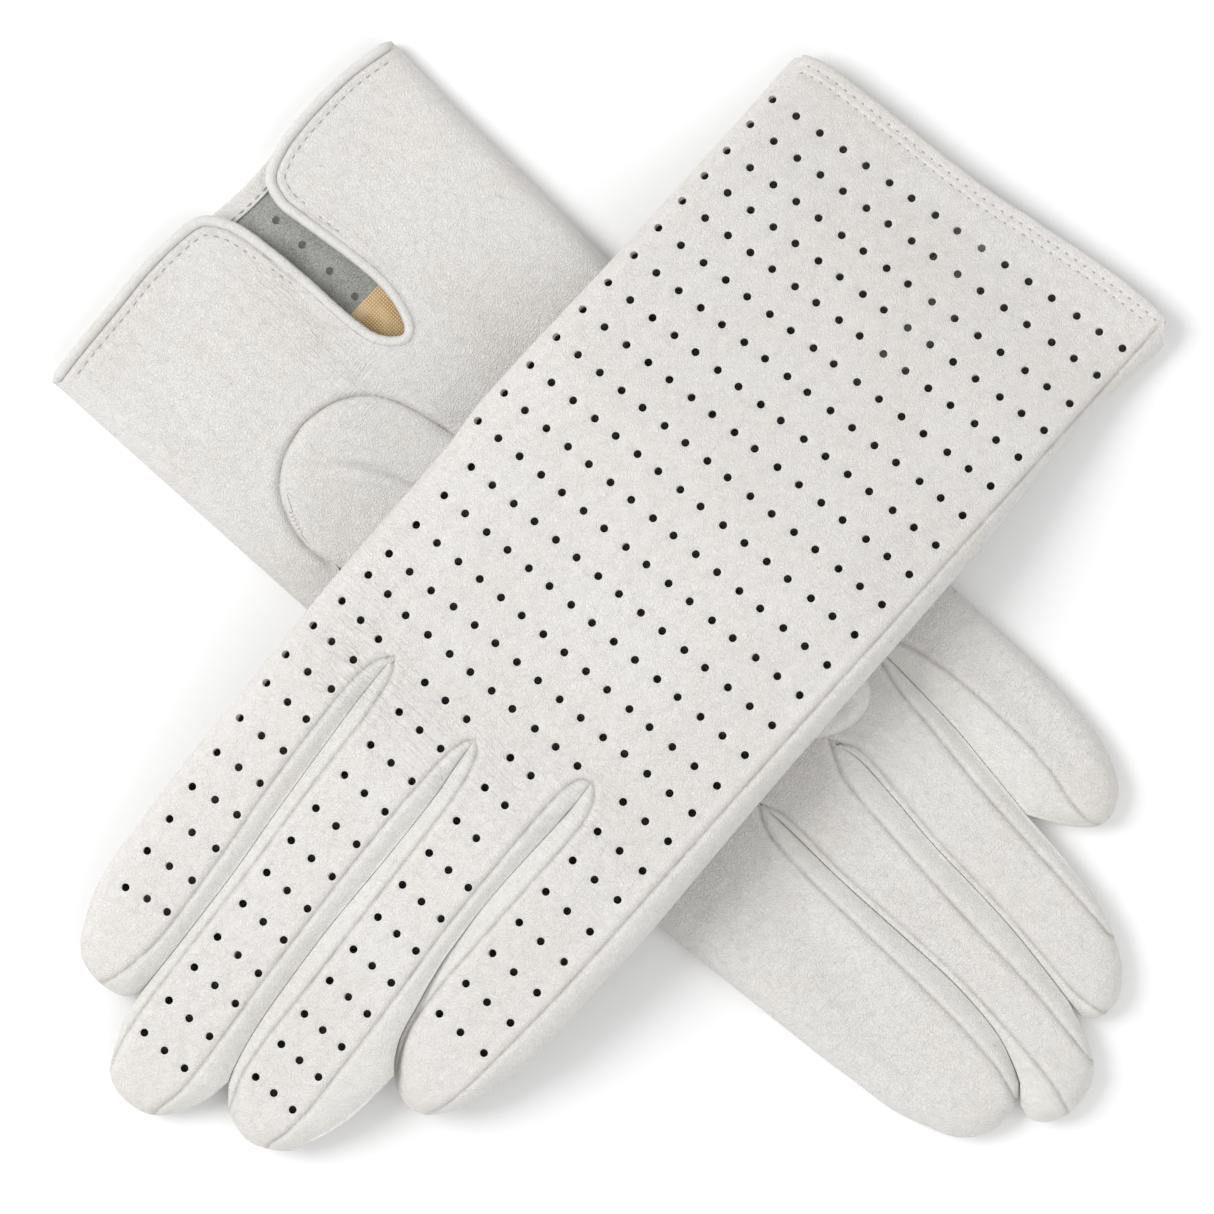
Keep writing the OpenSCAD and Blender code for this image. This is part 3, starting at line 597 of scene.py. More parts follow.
def chunks_inside(p, poly):
    if not len(p):
        return np.zeros(0, bool)
    return np.concatenate([inside(p[i:i + CHUNK], poly) for i in range(0, len(p), CHUNK)])


def nearest_hole(p, holes):
    """How far each point is from the nearest perforation, and which one it is."""
    if not len(p):
        return np.zeros(0), np.zeros(0, int)
    d = [np.linalg.norm(p[i:i + CHUNK, None] - holes, axis=2) for i in range(0, len(p), CHUNK)]
    return np.concatenate([r.min(1) for r in d]), np.concatenate([r.argmin(1) for r in d])


def along(line, offsets=(0, 0.3, 0.7, 1.3, 2.1)):
    """Points beside a line, for a mesh that has to show a furrow there."""
    side = left_of(line)
    out = []
    for r in sorted({o * k for o in offsets for k in (1, -1)}):
        q = line + side * r
        out.append(q[segments_distance(q, line)[0] > abs(r) * 0.93 - 1e-9])
    return np.vstack(out)


def used_only(t, *arrays):
    """The triangles and the rows of each array that they use."""
    used = np.unique(t)
    renum = np.full(len(arrays[0]), -1)
    renum[used] = np.arange(len(used))
    return (renum[t], *(a[used] for a in arrays))


def triangulate(poly, holes=(), grid=1.7, rings=(0.12, 0.4, 0.85, 1.5, 2.4), lines=()):
    """Points and triangles of a plan region with its round holes left out."""
    poly = poly[np.linalg.norm(poly - np.roll(poly, 1, 0), axis=1) > 1e-4]
    area = (poly[:, 0] * np.roll(poly[:, 1], -1) - np.roll(poly[:, 0], -1) * poly[:, 1]).sum()
    if area < 0:
        poly = poly[::-1]
    n = len(poly)
    tangent = np.roll(poly, -1, 0) - np.roll(poly, 1, 0)
    tangent /= np.maximum(np.linalg.norm(tangent, axis=1), 1e-9)[:, None]
    normal = np.column_stack([-tangent[:, 1], tangent[:, 0]])
    closed = np.vstack([poly, poly[:1]])
    pts = [poly]
    for r in rings:
        q = poly + normal * r
        d, _ = segments_distance(q, closed)
        pts.append(q[(d > 0.93 * r) & chunks_inside(q, poly)])
    lo, hi = poly.min(0), poly.max(0)
    nx, ny = int((hi[0] - lo[0]) / grid) + 2, int((hi[1] - lo[1]) / (grid * ROW_SHARE)) + 2
    gx, gy = np.meshgrid(np.arange(nx), np.arange(ny))
    q = np.column_stack([(lo[0] + (gx + 0.5 * (gy % 2)) * grid).ravel(), (lo[1] + gy * grid * ROW_SHARE).ravel()])
    q = q[chunks_inside(q, poly)]
    d, _ = segments_distance(q, closed)
    q = q[d > (rings[-1] + grid * 0.55 if rings else grid * 0.5)]
    for line in lines:
        q = q[segments_distance(q, line)[0] > FURROW_FREE]
        beside = along(line)
        beside = beside[chunks_inside(beside, poly)]
        beside = beside[segments_distance(beside, closed)[0] > (rings[-1] if rings else 0) + 0.5]
        q = np.vstack([q, beside])
    holes = np.array(holes, float).reshape(-1, 2)
    if len(holes):
        q = q[nearest_hole(q, holes)[0] > HOLE + GRID_FREE]
        ang = np.arange(HOLE_SIDES) * math.tau / HOLE_SIDES
        for r, turn in ((HOLE, 0), (HOLE + RIM_RING, 0.26)):
            ring = (holes[:, None] + r * np.stack([np.cos(ang + turn), np.sin(ang + turn)], 1)).reshape(-1, 2)
            pts.append(ring[chunks_inside(ring, poly)])
        pts[1:1 + len(rings)] = [p[nearest_hole(p, holes)[0] > HOLE + RIM_FREE] for p in pts[1:1 + len(rings)]]
    pts.append(q)
    allp = np.vstack([p for p in pts if len(p)])
    edges = [(i, (i + 1) % n) for i in range(n)]
    out = delaunay_2d_cdt([Vector(p) for p in allp], edges, [], 0, 1e-6, False)
    v = np.array([tuple(c) for c in out[0]])
    tri = np.array([t for t in out[2] if len(t) == 3], int)
    c = v[tri].mean(1)
    ok = chunks_inside(c, poly)
    if len(holes):
        ok &= nearest_hole(c, holes)[0] > HOLE * 0.93
    tri = tri[ok]
    a, b, d = v[tri[:, 0]], v[tri[:, 1]], v[tri[:, 2]]
    area = (b[:, 0] - a[:, 0]) * (d[:, 1] - a[:, 1]) - (d[:, 0] - a[:, 0]) * (b[:, 1] - a[:, 1])
    tri[area < 0] = tri[area < 0][:, ::-1]
    tri = tri[np.abs(area) > 1e-7]
    tri, v = used_only(tri, v)
    return v, tri


def weld(parts):
    """One mesh from patches (points, triangles, attribute), joined where their borders meet."""
    pts, tris, att, n = [], [], [], 0
    for p, t, a in parts:
        pts.append(p)
        tris.append(t + n)
        att.append(a)
        n += len(p)
    p, t, a = np.vstack(pts), np.vstack(tris), np.concatenate(att)
    cell = np.round(p / WELD).astype(np.int64)
    _, first, back = np.unique(cell, axis=0, return_index=True, return_inverse=True)
    t = back.reshape(-1)[t]
    t = t[(t[:, 0] != t[:, 1]) & (t[:, 1] != t[:, 2]) & (t[:, 0] != t[:, 2])]
    return p[first], t, a[first]


def to_row(s, p):
    q = np.array(p, float)
    if s == LEFT:
        x, y = q[:, 0].copy(), q[:, 1].copy()
        q[:, 0] = CROSS_AT[0] + math.cos(CROSS) * x - math.sin(CROSS) * y
        q[:, 1] = CROSS_AT[1] + math.sin(CROSS) * x + math.cos(CROSS) * y
    q[:, 0] -= OX
    q[:, 1] -= OY
    return q / 1000


def row_point(s, x, y, z):
    return tuple(float(v) for v in to_row(s, [[x, y, z]])[0])


def vertex_normals(p, t):
    n = np.cross(p[t[:, 1]] - p[t[:, 0]], p[t[:, 2]] - p[t[:, 0]])
    out = np.zeros_like(p)
    for k in range(3):
        np.add.at(out, t[:, k], n)
    return out / np.maximum(np.linalg.norm(out, axis=1), 1e-12)[:, None]


def crease_masks(s, p):
    """How drawn up the leather is, with creases running across and along the glove."""
    out = [np.zeros(len(p)), np.zeros(len(p))]
    for g, (cx, cy), (a, b), deg, across, along, depth in WRINKLES:
        if g == s:
            u, v = turned(p[:, 0] - cx, p[:, 1] - cy, deg)
            out[int(along > across)] += np.exp(-((u / a) ** 2 + (v / b) ** 2)) * depth * 4
    return [np.minimum(m, 1) for m in out]


def make_object(name, s, p, faces, mats, which, seam=None, sharp=55):
    mesh = bpy.data.meshes.new(name)
    mesh.from_pydata(to_row(s, p).tolist(), [], [tuple(map(int, f)) for f in faces])
    ob = bpy.data.objects.new(name, mesh)
    bpy.context.scene.collection.objects.link(ob)
    for m in mats:
        mesh.materials.append(m)
    mesh.polygons.foreach_set("material_index", np.asarray(which, np.int32))
    mesh.polygons.foreach_set("use_smooth", np.ones(len(mesh.polygons), bool))
    r = mesh.attributes.new("rest", "FLOAT_VECTOR", "POINT")
    r.data.foreach_set("vector", np.asarray(p, np.float32).ravel())
    a = mesh.attributes.new("seam", "FLOAT", "POINT")
    a.data.foreach_set("value", np.asarray(np.zeros(len(p)) if seam is None else seam, np.float32))
    for key, m in zip(("crease_x", "crease_y"), crease_masks(s, p)):
        mesh.attributes.new(key, "FLOAT", "POINT").data.foreach_set("value", m.astype(np.float32))
    mesh.validate()
    mesh.update()
    mesh.set_sharp_from_angle(angle=math.radians(sharp))
    return ob


def shell(name, s, p, t, seam, mats, holes=()):
    """A leather panel: the outer face, the suede inner face and the cut edges between."""
    normal = vertex_normals(p, t)
    inner = p - normal * WALL
    if len(holes):
        # the punch leaves each hole a little narrower and skewed on the suede side
        rng = np.random.default_rng(5 + s)
        skew = np.array([HOLE_SKEW[s], 0.0]) + rng.normal(0, 0.05, (len(holes), 2))
        d, near = nearest_hole(p[:, :2], holes)
        centre = np.asarray(holes)[near]
        rim = d < HOLE + 0.02
        inner[rim, :2] += ((centre - p[:, :2]) * HOLE_TAPER[s] + skew[near])[rim]
    n = len(p)
    e = np.vstack([t[:, [0, 1]], t[:, [1, 2]], t[:, [2, 0]]])
    key = np.sort(e, 1)
    _, inv, count = np.unique(key, axis=0, return_inverse=True, return_counts=True)
    rim = e[count[inv.reshape(-1)] == 1]
    faces = [tuple(f) for f in t] + [tuple(f) for f in (t[:, ::-1] + n)]
    faces += [(b, a, a + n, b + n) for a, b in rim]
    which = [0] * len(t) + [1] * len(t) + [2] * len(rim)
    seam = np.concatenate([seam, seam * 0])
    return make_object(name, s, np.vstack([p, inner]), faces, mats, which, seam)


def patch(s, f, top, poly, holes=(), **kw):
    """A triangulated plan region on the upper or lower surface."""
    v, t = triangulate(poly, holes, **kw)
    z, seam = height(s, f, top, v[:, 0], v[:, 1])
    if len(holes):
        h = np.array(holes, float).reshape(-1, 2)
        d, _ = nearest_hole(v, h)
        z = z - (RIM_PRESS if top else -RIM_PRESS) * np.exp(-(np.maximum(0, d - 0.77) / 0.16) ** 2)
    return np.column_stack([v, z]), t if top else t[:, ::-1], seam


# ---------------------------------------------------------------- perforations
# across, where each of the 16 columns stands at these heights from the cuff
COLUMNS = {
    8: [-38.3, -32.9, -27.7, -21.9, -16.5, -11.0, -5.6, 0.1, 5.2, 10.7, 15.8, 21.3, 26.6, 32.0, 37.5, 43],
    50: [-36.9, -31.6, -26.5, -20.8, -15.6, -10.2, -5, 0.6, 5.4, 10.8, 15.8, 21.2, 26.3, 31.6, 37, 42.4],
    125: [-36.7, -31, -25.4, -19.7, -14.6, -9, -3.7, 1.7, 7, 12.4, 17.6, 22.9, 28.1, 33.5, 38.7, 43.6],
    170: [-37.9, -32, -26.6, None, -14.9, -10, -5.2, None, 6.4, 11.6, 16.7, None, 26.2, 31.2, 36, 40.9],
    209: [-38.6, -32.6, -27.4, None, -18, -13.2, -8.6, None, 3.1, 8.3, 13.5, None, 24, 28.5, 33.1, 37.8],
    226: [-38.9, -32.9, -27.6, None, -19.2, -14.4, -9.8, None, 1.9, 7.0, 12.1, None, 23, 27.4, 32, 36.6]}
ROWS = [7.7, 14.5, 21.7, 28.5, 35.3, 42.6, 50, 57.4, 64.7, 72.2, 79.7, 87.2, 94.7, 102.3, 109.8, 117.6, 125.2,
        132.9, 140.3, 147.5, 155.3, 163, 170.8, 178.5, 186.2, 193.7, 201.7, 209, 217, 224.8]
# the last row of each finger's columns, of the columns between fingers, and of the outermost column
LAST, LAST_BETWEEN, LAST_OUTERMOST = {0: 187, 1: 217.5, 2: 225.5, 3: 128}, {3: 126, 7: 134, 11: 134}, 104
# the index finger's own columns, which swerve round its root
INDEX_HOLES = [
    (28.5, 132.4), (29.3, 139.2), (30.2, 145.3), (29.6, 152.2), (29.3, 159.8), (28.5, 167.0), (27.7, 174.6),
    (26.9, 182.0), (25.6, 189.5), (24.9, 197.1), (24.4, 204.8),
    (33.7, 131.7), (34.2, 138.8), (35.6, 145.5), (35.1, 152.8), (34.1, 160.3), (33.5, 167.7), (32.7, 175.1),
    (31.9, 182.7), (31.0, 190.3), (29.9, 198.0), (28.9, 205.5),
    (38.9, 131.5), (39.3, 138.5), (40.2, 145.6), (40.4, 153.2), (39.5, 160.8), (38.8, 168.0), (37.7, 175.8),
    (36.8, 183.8), (35.9, 191.3), (35.0, 198.7), (33.4, 206.7), (38.1, 207.0)]


def perforations(s):
    out = []
    for col in range(16):
        finger = col // 4
        last = LAST_OUTERMOST if col == 15 else LAST_BETWEEN.get(col, LAST[finger])
        ys = [y for y in COLUMNS if COLUMNS[y][col] is not None]
        xs = [COLUMNS[y][col] for y in ys]
        for row in ROWS:
            if row > last:
                continue
            x = float(np.interp(row, ys, xs))
            tilt = float(np.interp(row, [8, 50, 95, 125, 160], [0.12, 0.067, 0.03, 0.018, 0.012]))
            y = row + tilt * x
            if finger == 0:
                y -= 1.6 * float(smooth((row - 115) / 20))
            elif finger < 3:
                y -= 1.2 * math.exp(-((row - 140) / 16) ** 2)
            out.append((x, y))
    out = np.array(out + INDEX_HOLES)
    if s == RIGHT:
        out += [-0.5, 1.7]
    # none falls on the border between a hand piece and a finger piece
    finger = np.clip(np.searchsorted([-21, 2, 24.5], out[:, 0]), 0, 3)
    border = np.array(SPLIT)[finger]
    off = out[:, 1] - border
    moved = border + np.where(off < 0, -BORDER_MARGIN, BORDER_MARGIN)
    out[:, 1] = np.where(np.abs(off) < BORDER_MARGIN, moved, out[:, 1])
    return out


def clear_of(poly, pts, margin):
    closed = np.vstack([poly, poly[:1]])
    pts = pts[chunks_inside(pts, poly)]
    if not len(pts):
        return pts
    return pts[segments_distance(pts, closed)[0] > margin]


# ---------------------------------------------------------------- materials
def srgb(r, g, b):
    return tuple(((c / 255 + 0.055) / 1.055) ** 2.4 if c > 10 else c / 255 / 12.92 for c in (r, g, b)) + (1.0,)


def shade(color, k):
    return tuple(min(1, c * k) for c in color[:3]) + (1,)


class Graph:
    """The nodes of one material, laid out in the piece's own rest coordinates, mm."""

    def __init__(self, name):
        self.mat = bpy.data.materials.new(name)
        self.mat.use_nodes = True
        self.nt = self.mat.node_tree
        self.nt.nodes.clear()

    def put(self, socket, v):
        if isinstance(v, bpy.types.NodeSocket):
            self.nt.links.new(v, socket)
        else:
            socket.default_value = v

    def node(self, kind, inputs=(), **props):
        n = self.nt.nodes.new("ShaderNode" + kind)
        for k, v in props.items():
            setattr(n, k, v)
        for key, v in dict(inputs).items():
            self.put(n.inputs[key], v)
        return n

    def attribute(self, name, out="Fac"):
        return self.node("Attribute", attribute_name=name).outputs[out]

    def math(self, op, a, b=0.0, clamp=False):
        return self.node("Math", {0: a, 1: b}, operation=op, use_clamp=clamp).outputs[0]

    def sum(self, *terms):
        """Each term is (value, weight)."""
        out = None
        for value, weight in terms:
            value = self.math("MULTIPLY", value, weight)
            out = value if out is None else self.math("ADD", out, value)
        return out

    def scaled(self, vec, *by):
        return self.node("VectorMath", {0: vec, 1: by}, operation="MULTIPLY").outputs[0]

    def shifted(self, vec, by):
        return self.node("VectorMath", {0: vec, 1: by}, operation="ADD").outputs[0]

    def noise(self, vec, scale, detail, roughness=0.5, out="Fac"):
        inputs = {"Scale": scale, "Detail": detail, "Roughness": roughness}
        if vec is not None:
            inputs["Vector"] = vec
        return self.node("TexNoise", inputs).outputs[out]

    def mix(self, fac, a, b):
        return self.node("Mix", {0: fac, 6: a, 7: b}, data_type="RGBA").outputs[2]

    def above(self, value, limit, gain, clamp=False):
        """How far a value stands over a limit, times gain."""
        return self.math("MULTIPLY", self.math("SUBTRACT", value, limit, True), gain, clamp)

    def finish(self, tone, roughness, relief=None, **sockets):
        """The surface; relief is (height, strength, distance in metres)."""
        bsdf = self.node("BsdfPrincipled", {"Base Color": tone, "Roughness": roughness})
        if relief:
            height, strength, distance = relief
            bump = self.node("Bump", {"Height": height, "Strength": strength, "Distance": distance})
            self.put(bsdf.inputs["Normal"], bump.outputs["Normal"])
        for key, v in sockets.items():
            bsdf.inputs[key.replace("_", " ")].default_value = v
        self.node("OutputMaterial", {"Surface": bsdf.outputs[0]})
        return self.mat


def leather_material(name, color, warm, rough=0.5, grain=1.0):
    g = Graph(name)
    rest = g.attribute("rest", "Vector")
    seam = g.attribute("seam")
    warp = g.noise(rest, 0.4, 3.0, out="Color")
    bent = g.shifted(rest, g.scaled(warp, 2.4, 2.4, 2.4))
    easy = g.shifted(rest, g.scaled(warp, 0.9, 0.9, 0.9))
    # pebbles with fine furrows between them
    furrow = g.node("TexVoronoi", {"Vector": g.scaled(bent, 1.0, 0.8, 1.0), "Scale": 1.9},
                    feature="DISTANCE_TO_EDGE").outputs["Distance"]
    furrow = g.math("MULTIPLY", furrow, 4.5, True)
    cells = g.node("TexVoronoi", {"Vector": bent, "Scale": 2.8, "Smoothness": 0.7},
                   feature="SMOOTH_F1").outputs["Distance"]
    fine = g.noise(bent, 4.0, 4.0, 0.6)
    height = g.sum((furrow, 0.42), (cells, -0.45), (fine, 0.3))
    # creases where the leather is drawn up
    crease = None
    for key, sx, sy in (("crease_x", 0.16, 1.15), ("crease_y", 1.05, 0.13)):
        n = g.noise(g.scaled(easy, sx, sy, 0.3), 1.0, 2.0, 0.5)
        ridge = g.math("MULTIPLY", g.math("ABSOLUTE", g.math("SUBTRACT", n, 0.5)), 7.0, True)
        line = g.math("MULTIPLY", g.math("SUBTRACT", 1.0, ridge), g.attribute(key))
        crease = line if crease is None else g.math("ADD", crease, line, True)
    height = g.math("SUBTRACT", height, g.math("MULTIPLY", crease, 1.0))
    # tone: broad drifts and blots of the leather's own colour, then painted shade in the grain's furrows, in the
    # creases and along the seam grooves
    broad = g.noise(rest, 0.05, 3.0, 0.55)
    tone = g.mix(g.math("MULTIPLY", g.math("SUBTRACT", broad, 0.36), 3.0, True), color, warm)
    blot = g.noise(rest, 0.3, 4.0)
    tone = g.mix(g.above(blot, 0.45, 0.16), tone, shade(color, 0.88))
    # painted shade: the grain's furrows between the pebbles are darkened
    furrow_shade = g.math("MULTIPLY", g.math("SUBTRACT", 1.0, furrow), 0.11)
    tone = g.mix(furrow_shade, tone, shade(color, 0.72))
    # painted shade: the leather is darkened in its creases where it is drawn up
    tone = g.mix(g.math("MULTIPLY", crease, 0.1), tone, srgb(168, 158, 148))
    # painted shade: a dark line along the seam grooves, made patchy by the blot noise
    patchy_seam_shade = g.math("ADD", g.math("MULTIPLY", blot, 0.9), -0.1, True)
    tone = g.mix(g.math("MULTIPLY", seam, patchy_seam_shade), tone, srgb(150, 140, 129))
    roughness = g.math("ADD", g.math("MULTIPLY", fine, 0.2), rough - 0.1)
    return g.finish(tone, roughness, (height, 1.0, 0.00017 * grain), Specular_IOR_Level=0.45)


def suede_material(name, color):
    g = Graph(name)
    rest = g.attribute("rest", "Vector")
    nap = g.noise(rest, 3.2, 6.0, 0.75)
    broad = g.noise(rest, 0.3, 3.0)
    fac = g.math("SUBTRACT", g.sum((nap, 2.6), (broad, 0.5)), 1.0, True)
    tone = g.mix(fac, shade(color, 0.42), shade(color, 1.6))
    return g.finish(tone, 0.95, (nap, 0.7, 0.0002), Specular_IOR_Level=0.12, Sheen_Weight=0.25)


def satin_material(name):
    g = Graph(name)
    rest = g.attribute("rest", "Vector")
    threads = [g.node("TexWave", {"Vector": rest, "Scale": 0.62, "Distortion": 0.2, "Detail": 1.0,
                                  "Detail Scale": 2.0}, wave_type="BANDS", bands_direction=axis).outputs["Fac"]
               for axis in "XY"]
    cloth = g.math("MULTIPLY", *threads)
    broad = g.noise(rest, 0.22, 2.0)
    # the weave's threads in darker and brighter gold: the weave itself, with a painted highlight on the bright
    # threads
    tone = g.mix(cloth, srgb(190, 146, 88), srgb(255, 236, 190))
    # painted highlight: a broad bright sheen streak where the broad noise is high
    tone = g.mix(g.above(broad, 0.42, 1.6), tone, srgb(246, 228, 186))
    return g.finish(tone, 0.38, (cloth, 0.6, 0.00012), Sheen_Weight=0.2, Anisotropic=0.4)


def thread_material(name, color):
    g = Graph(name)
    twist = g.noise(g.attribute("rest", "Vector"), 6.0, 2.0)
    return g.finish(g.mix(twist, shade(color, 0.82), color), 0.6, (twist, 0.5, 0.0001))


def floor_material(name):
    g = Graph(name)
    return g.finish(g.mix(g.noise(None, 3.0, 2.0), (0.96, 0.96, 0.96, 1), (0.98, 0.98, 0.98, 1)), 0.9)


M_BACK = leather_material("back_leather", srgb(227, 224, 221), srgb(225, 221, 216))
M_PALM = leather_material("palm_leather", srgb(224, 222, 219), srgb(222, 218, 213))
M_STRIP = leather_material("strip_leather", srgb(225, 224, 220), srgb(223, 220, 214), grain=0.9)
M_THUMB = leather_material("thumb_leather", srgb(224, 222, 219), srgb(222, 218, 213))
M_BIND = leather_material("binding_leather", srgb(225, 224, 221), srgb(222, 219, 214), rough=0.46, grain=0.8)
M_SUEDE = suede_material("suede", srgb(158, 159, 154))
M_EDGE = suede_material("cut_edge", srgb(190, 184, 176))
M_SATIN = satin_material("satin")
M_THREAD = thread_material("thread", srgb(178, 172, 162))


def on_hand(ob, s, slot, *nodes):
    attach(ob, NAMES[s] + "_hand")
    if nodes:
        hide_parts(*nodes)


def on_finger(ob, s, f, slot, *nodes):
    """Bakes the piece's place into its points and hides the CAD parts that it replaces."""
    y0 = SPLIT[f] + 1.5
    y1 = 2 * KNUCKLE[f] - y0
    row_point(s, 0, y0, 5)
    row_point(s, 0, y1, 5)
    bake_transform(ob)
    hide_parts(*nodes)


BACK_MATS, PALM_MATS, STRIP_MATS = ([m, M_SUEDE, M_EDGE] for m in (M_BACK, M_PALM, M_STRIP))
# how far in from its outline a panel has rows of points, mm
EDGE_RINGS = (0.12, 0.4, 0.7, 1.0, 1.5, 2.1, 2.75, 3.4)
HEM_RINGS = (0.12, 0.4, 0.8, 1.15, 1.5, 1.9, 2.3, 2.7, 3.1, 3.5)
WRAP_RINGS = (0.12, 0.4, 0.85, 1.5)
STRIP_RINGS = (0.1, 0.3, 0.7, 1.2)


def build_panels(s):
    g = GLOVES[s]
    back_top, palm_top = s == LEFT, s == RIGHT
    name = NAMES[s]
    pierced = perforations(s)
    # back of the hand
    poly = g.hand("back")
    holes = clear_of(poly, pierced, HAND_MARGIN)
    p, t, a = patch(s, None, back_top, poly, holes, rings=HEM_RINGS if back_top else EDGE_RINGS)
    on_hand(shell(name + "_back_panel", s, p, t, a, BACK_MATS, holes), s, "back_leather", name + "_back")
    # palm with its wrap round the little finger edge
    lines = [THUMB_OVAL] if palm_top else []
    p, t, a = patch(s, None, palm_top, g.hand("palm"), rings=EDGE_RINGS, lines=lines)
    cx, cy, rx, ry = THUMB_OPENING
    c = p[t].mean(1)
    t = t[((c[:, 0] - cx) / rx) ** 2 + ((c[:, 1] - cy) / ry) ** 2 > 1]
    p, t, a = weld([(p, t, a), patch(s, None, back_top, g.wrap("hand"), rings=WRAP_RINGS)])
    on_hand(shell(name + "_palm_panel", s, p, t, a, PALM_MATS), s, "palm_leather", name + "_palm")
    for f in range(4):
        fn = f"{name}_{FINGERS[f]}"
        poly = g.finger(f, "back")
        holes = clear_of(poly, pierced, FINGER_MARGIN)
        p, t, a = patch(s, f, back_top, poly, holes)
        on_finger(shell(fn + "_back_panel", s, p, t, a, BACK_MATS, holes), s, f, "back_leather", fn + "_back")
        p, t, a = patch(s, f, palm_top, g.finger(f, "palm"))
        if f == 0:
            p, t, a = weld([(p, t, a), patch(s, f, back_top, g.wrap("finger"), rings=WRAP_RINGS)])
        on_finger(shell(fn + "_palm_panel", s, p, t, a, PALM_MATS), s, f, "palm_leather", fn + "_palm")
        for low in (True, False):
            if (f == 0 and low) or (f == 3 and not low):
                continue
            poly = g.strip(f, low)
            p, t, a = weld([patch(s, f, top, poly, grid=1.3, rings=STRIP_RINGS) for top in (True, False)])
            letter = "" if f in (0, 3) else "_a" if low else "_b"
            fork = [] if low else [f"{name}_fork_{FINGERS[f]}_{FINGERS[f + 1]}"]
            ob = shell(fn + "_side_strip" + letter, s, p, t, a, STRIP_MATS)
            on_finger(ob, s, f, "strip_leather", fn + "_strip" + letter, *fork)


def tube_faces(n, m):
    """Faces of a capped tube of n rings of m points."""
    faces = [(i * m + j, i * m + (j + 1) % m, (i + 1) * m + (j + 1) % m, (i + 1) * m + j)
             for i in range(n - 1) for j in range(m)]
    return faces + [tuple(range(m))[::-1], tuple((n - 1) * m + j for j in range(m))]


ROLL_RADIUS, ROLL_SIDES = 0.97, 14


def build_binding(s):
    """The rolled edge, swept along the cuff and round the vent."""
    line = curve(CUFF_PALM[s], 0.5)
    z, _ = height(s, None, s == RIGHT, line[:, 0], line[:, 1])
    path = np.column_stack([line, z + (-0.28 if s == RIGHT else 0.42)])
    n = len(path)
    rng = np.random.default_rng(11 + s)
    wobble = np.convolve(rng.normal(0, 1, n + 8), np.ones(5) / 5, "same")[4:-4]
    tan = unit_tangents(path)
    side = np.column_stack([-tan[:, 1], tan[:, 0], np.zeros(n)])
    side /= np.maximum(np.linalg.norm(side, axis=1), 1e-9)[:, None]
    up = np.cross(tan, side)
    pts = []
    for i in range(n):
        end = min(1.0, 0.35 + 0.65 * min(i, n - 1 - i) / 3)
        r = ROLL_RADIUS * end * (1 + 0.035 * wobble[i]) * (1 + 0.02 * math.sin(i * 1.5))
        for k in range(ROLL_SIDES):
            a = k * math.tau / ROLL_SIDES
            pts.append(path[i] + side[i] * (r * 1.06 * math.cos(a)) + up[i] * (r * 0.92 * math.sin(a)))
    faces = tube_faces(n, ROLL_SIDES)
    ob = make_object(NAMES[s] + "_vent_binding", s, np.array(pts), faces, [M_BIND], [0] * len(faces), sharp=80)
    on_hand(ob, s, "binding_leather", NAMES[s] + "_binding")


# section of the folded hem: how far in from the cuff, how deep from the outer face, mm
HEM_SECTION = ((3.35, 0.64), (3.3, 1.16), (1.8, 1.2), (0.2, 1.22), (-0.36, 1.05), (-0.56, 0.62), (-0.4, 0.16),
               (0.0, -0.03), (0.3, -0.03), (0.34, 0.62), (1.8, 0.63))


def build_hem(s):
    """The back's cuff edge turned in and stitched down."""
    ends = [(x, np.interp(x, *zip(*CUFF_BACK[s]))) for x in (-40.3, 44.2)]
    line = curve([ends[0]] + [q for q in CUFF_BACK[s] if -39.5 < q[0] < 44] + [ends[1]], 0.8)
    top = s == LEFT
    deep = -1 if top else 1
    inward = left_of(line)
    pts = []
    for u, w in HEM_SECTION:
        q = line + inward * u
        z, _ = height(s, None, top, q[:, 0], q[:, 1])
        pts.append(np.column_stack([q, z + deep * w]))
    p = np.array(pts).transpose(1, 0, 2).reshape(-1, 3)
    faces = tube_faces(len(line), len(HEM_SECTION))
    if top:
        faces = [f[::-1] for f in faces]
    ob = make_object(NAMES[s] + "_cuff_hem", s, p, faces, [M_BACK], [0] * len(faces), sharp=50)
    on_hand(ob, s, "suede", NAMES[s] + "_hem")


STITCH_RINGS, STITCH_SIDES = 7, 6


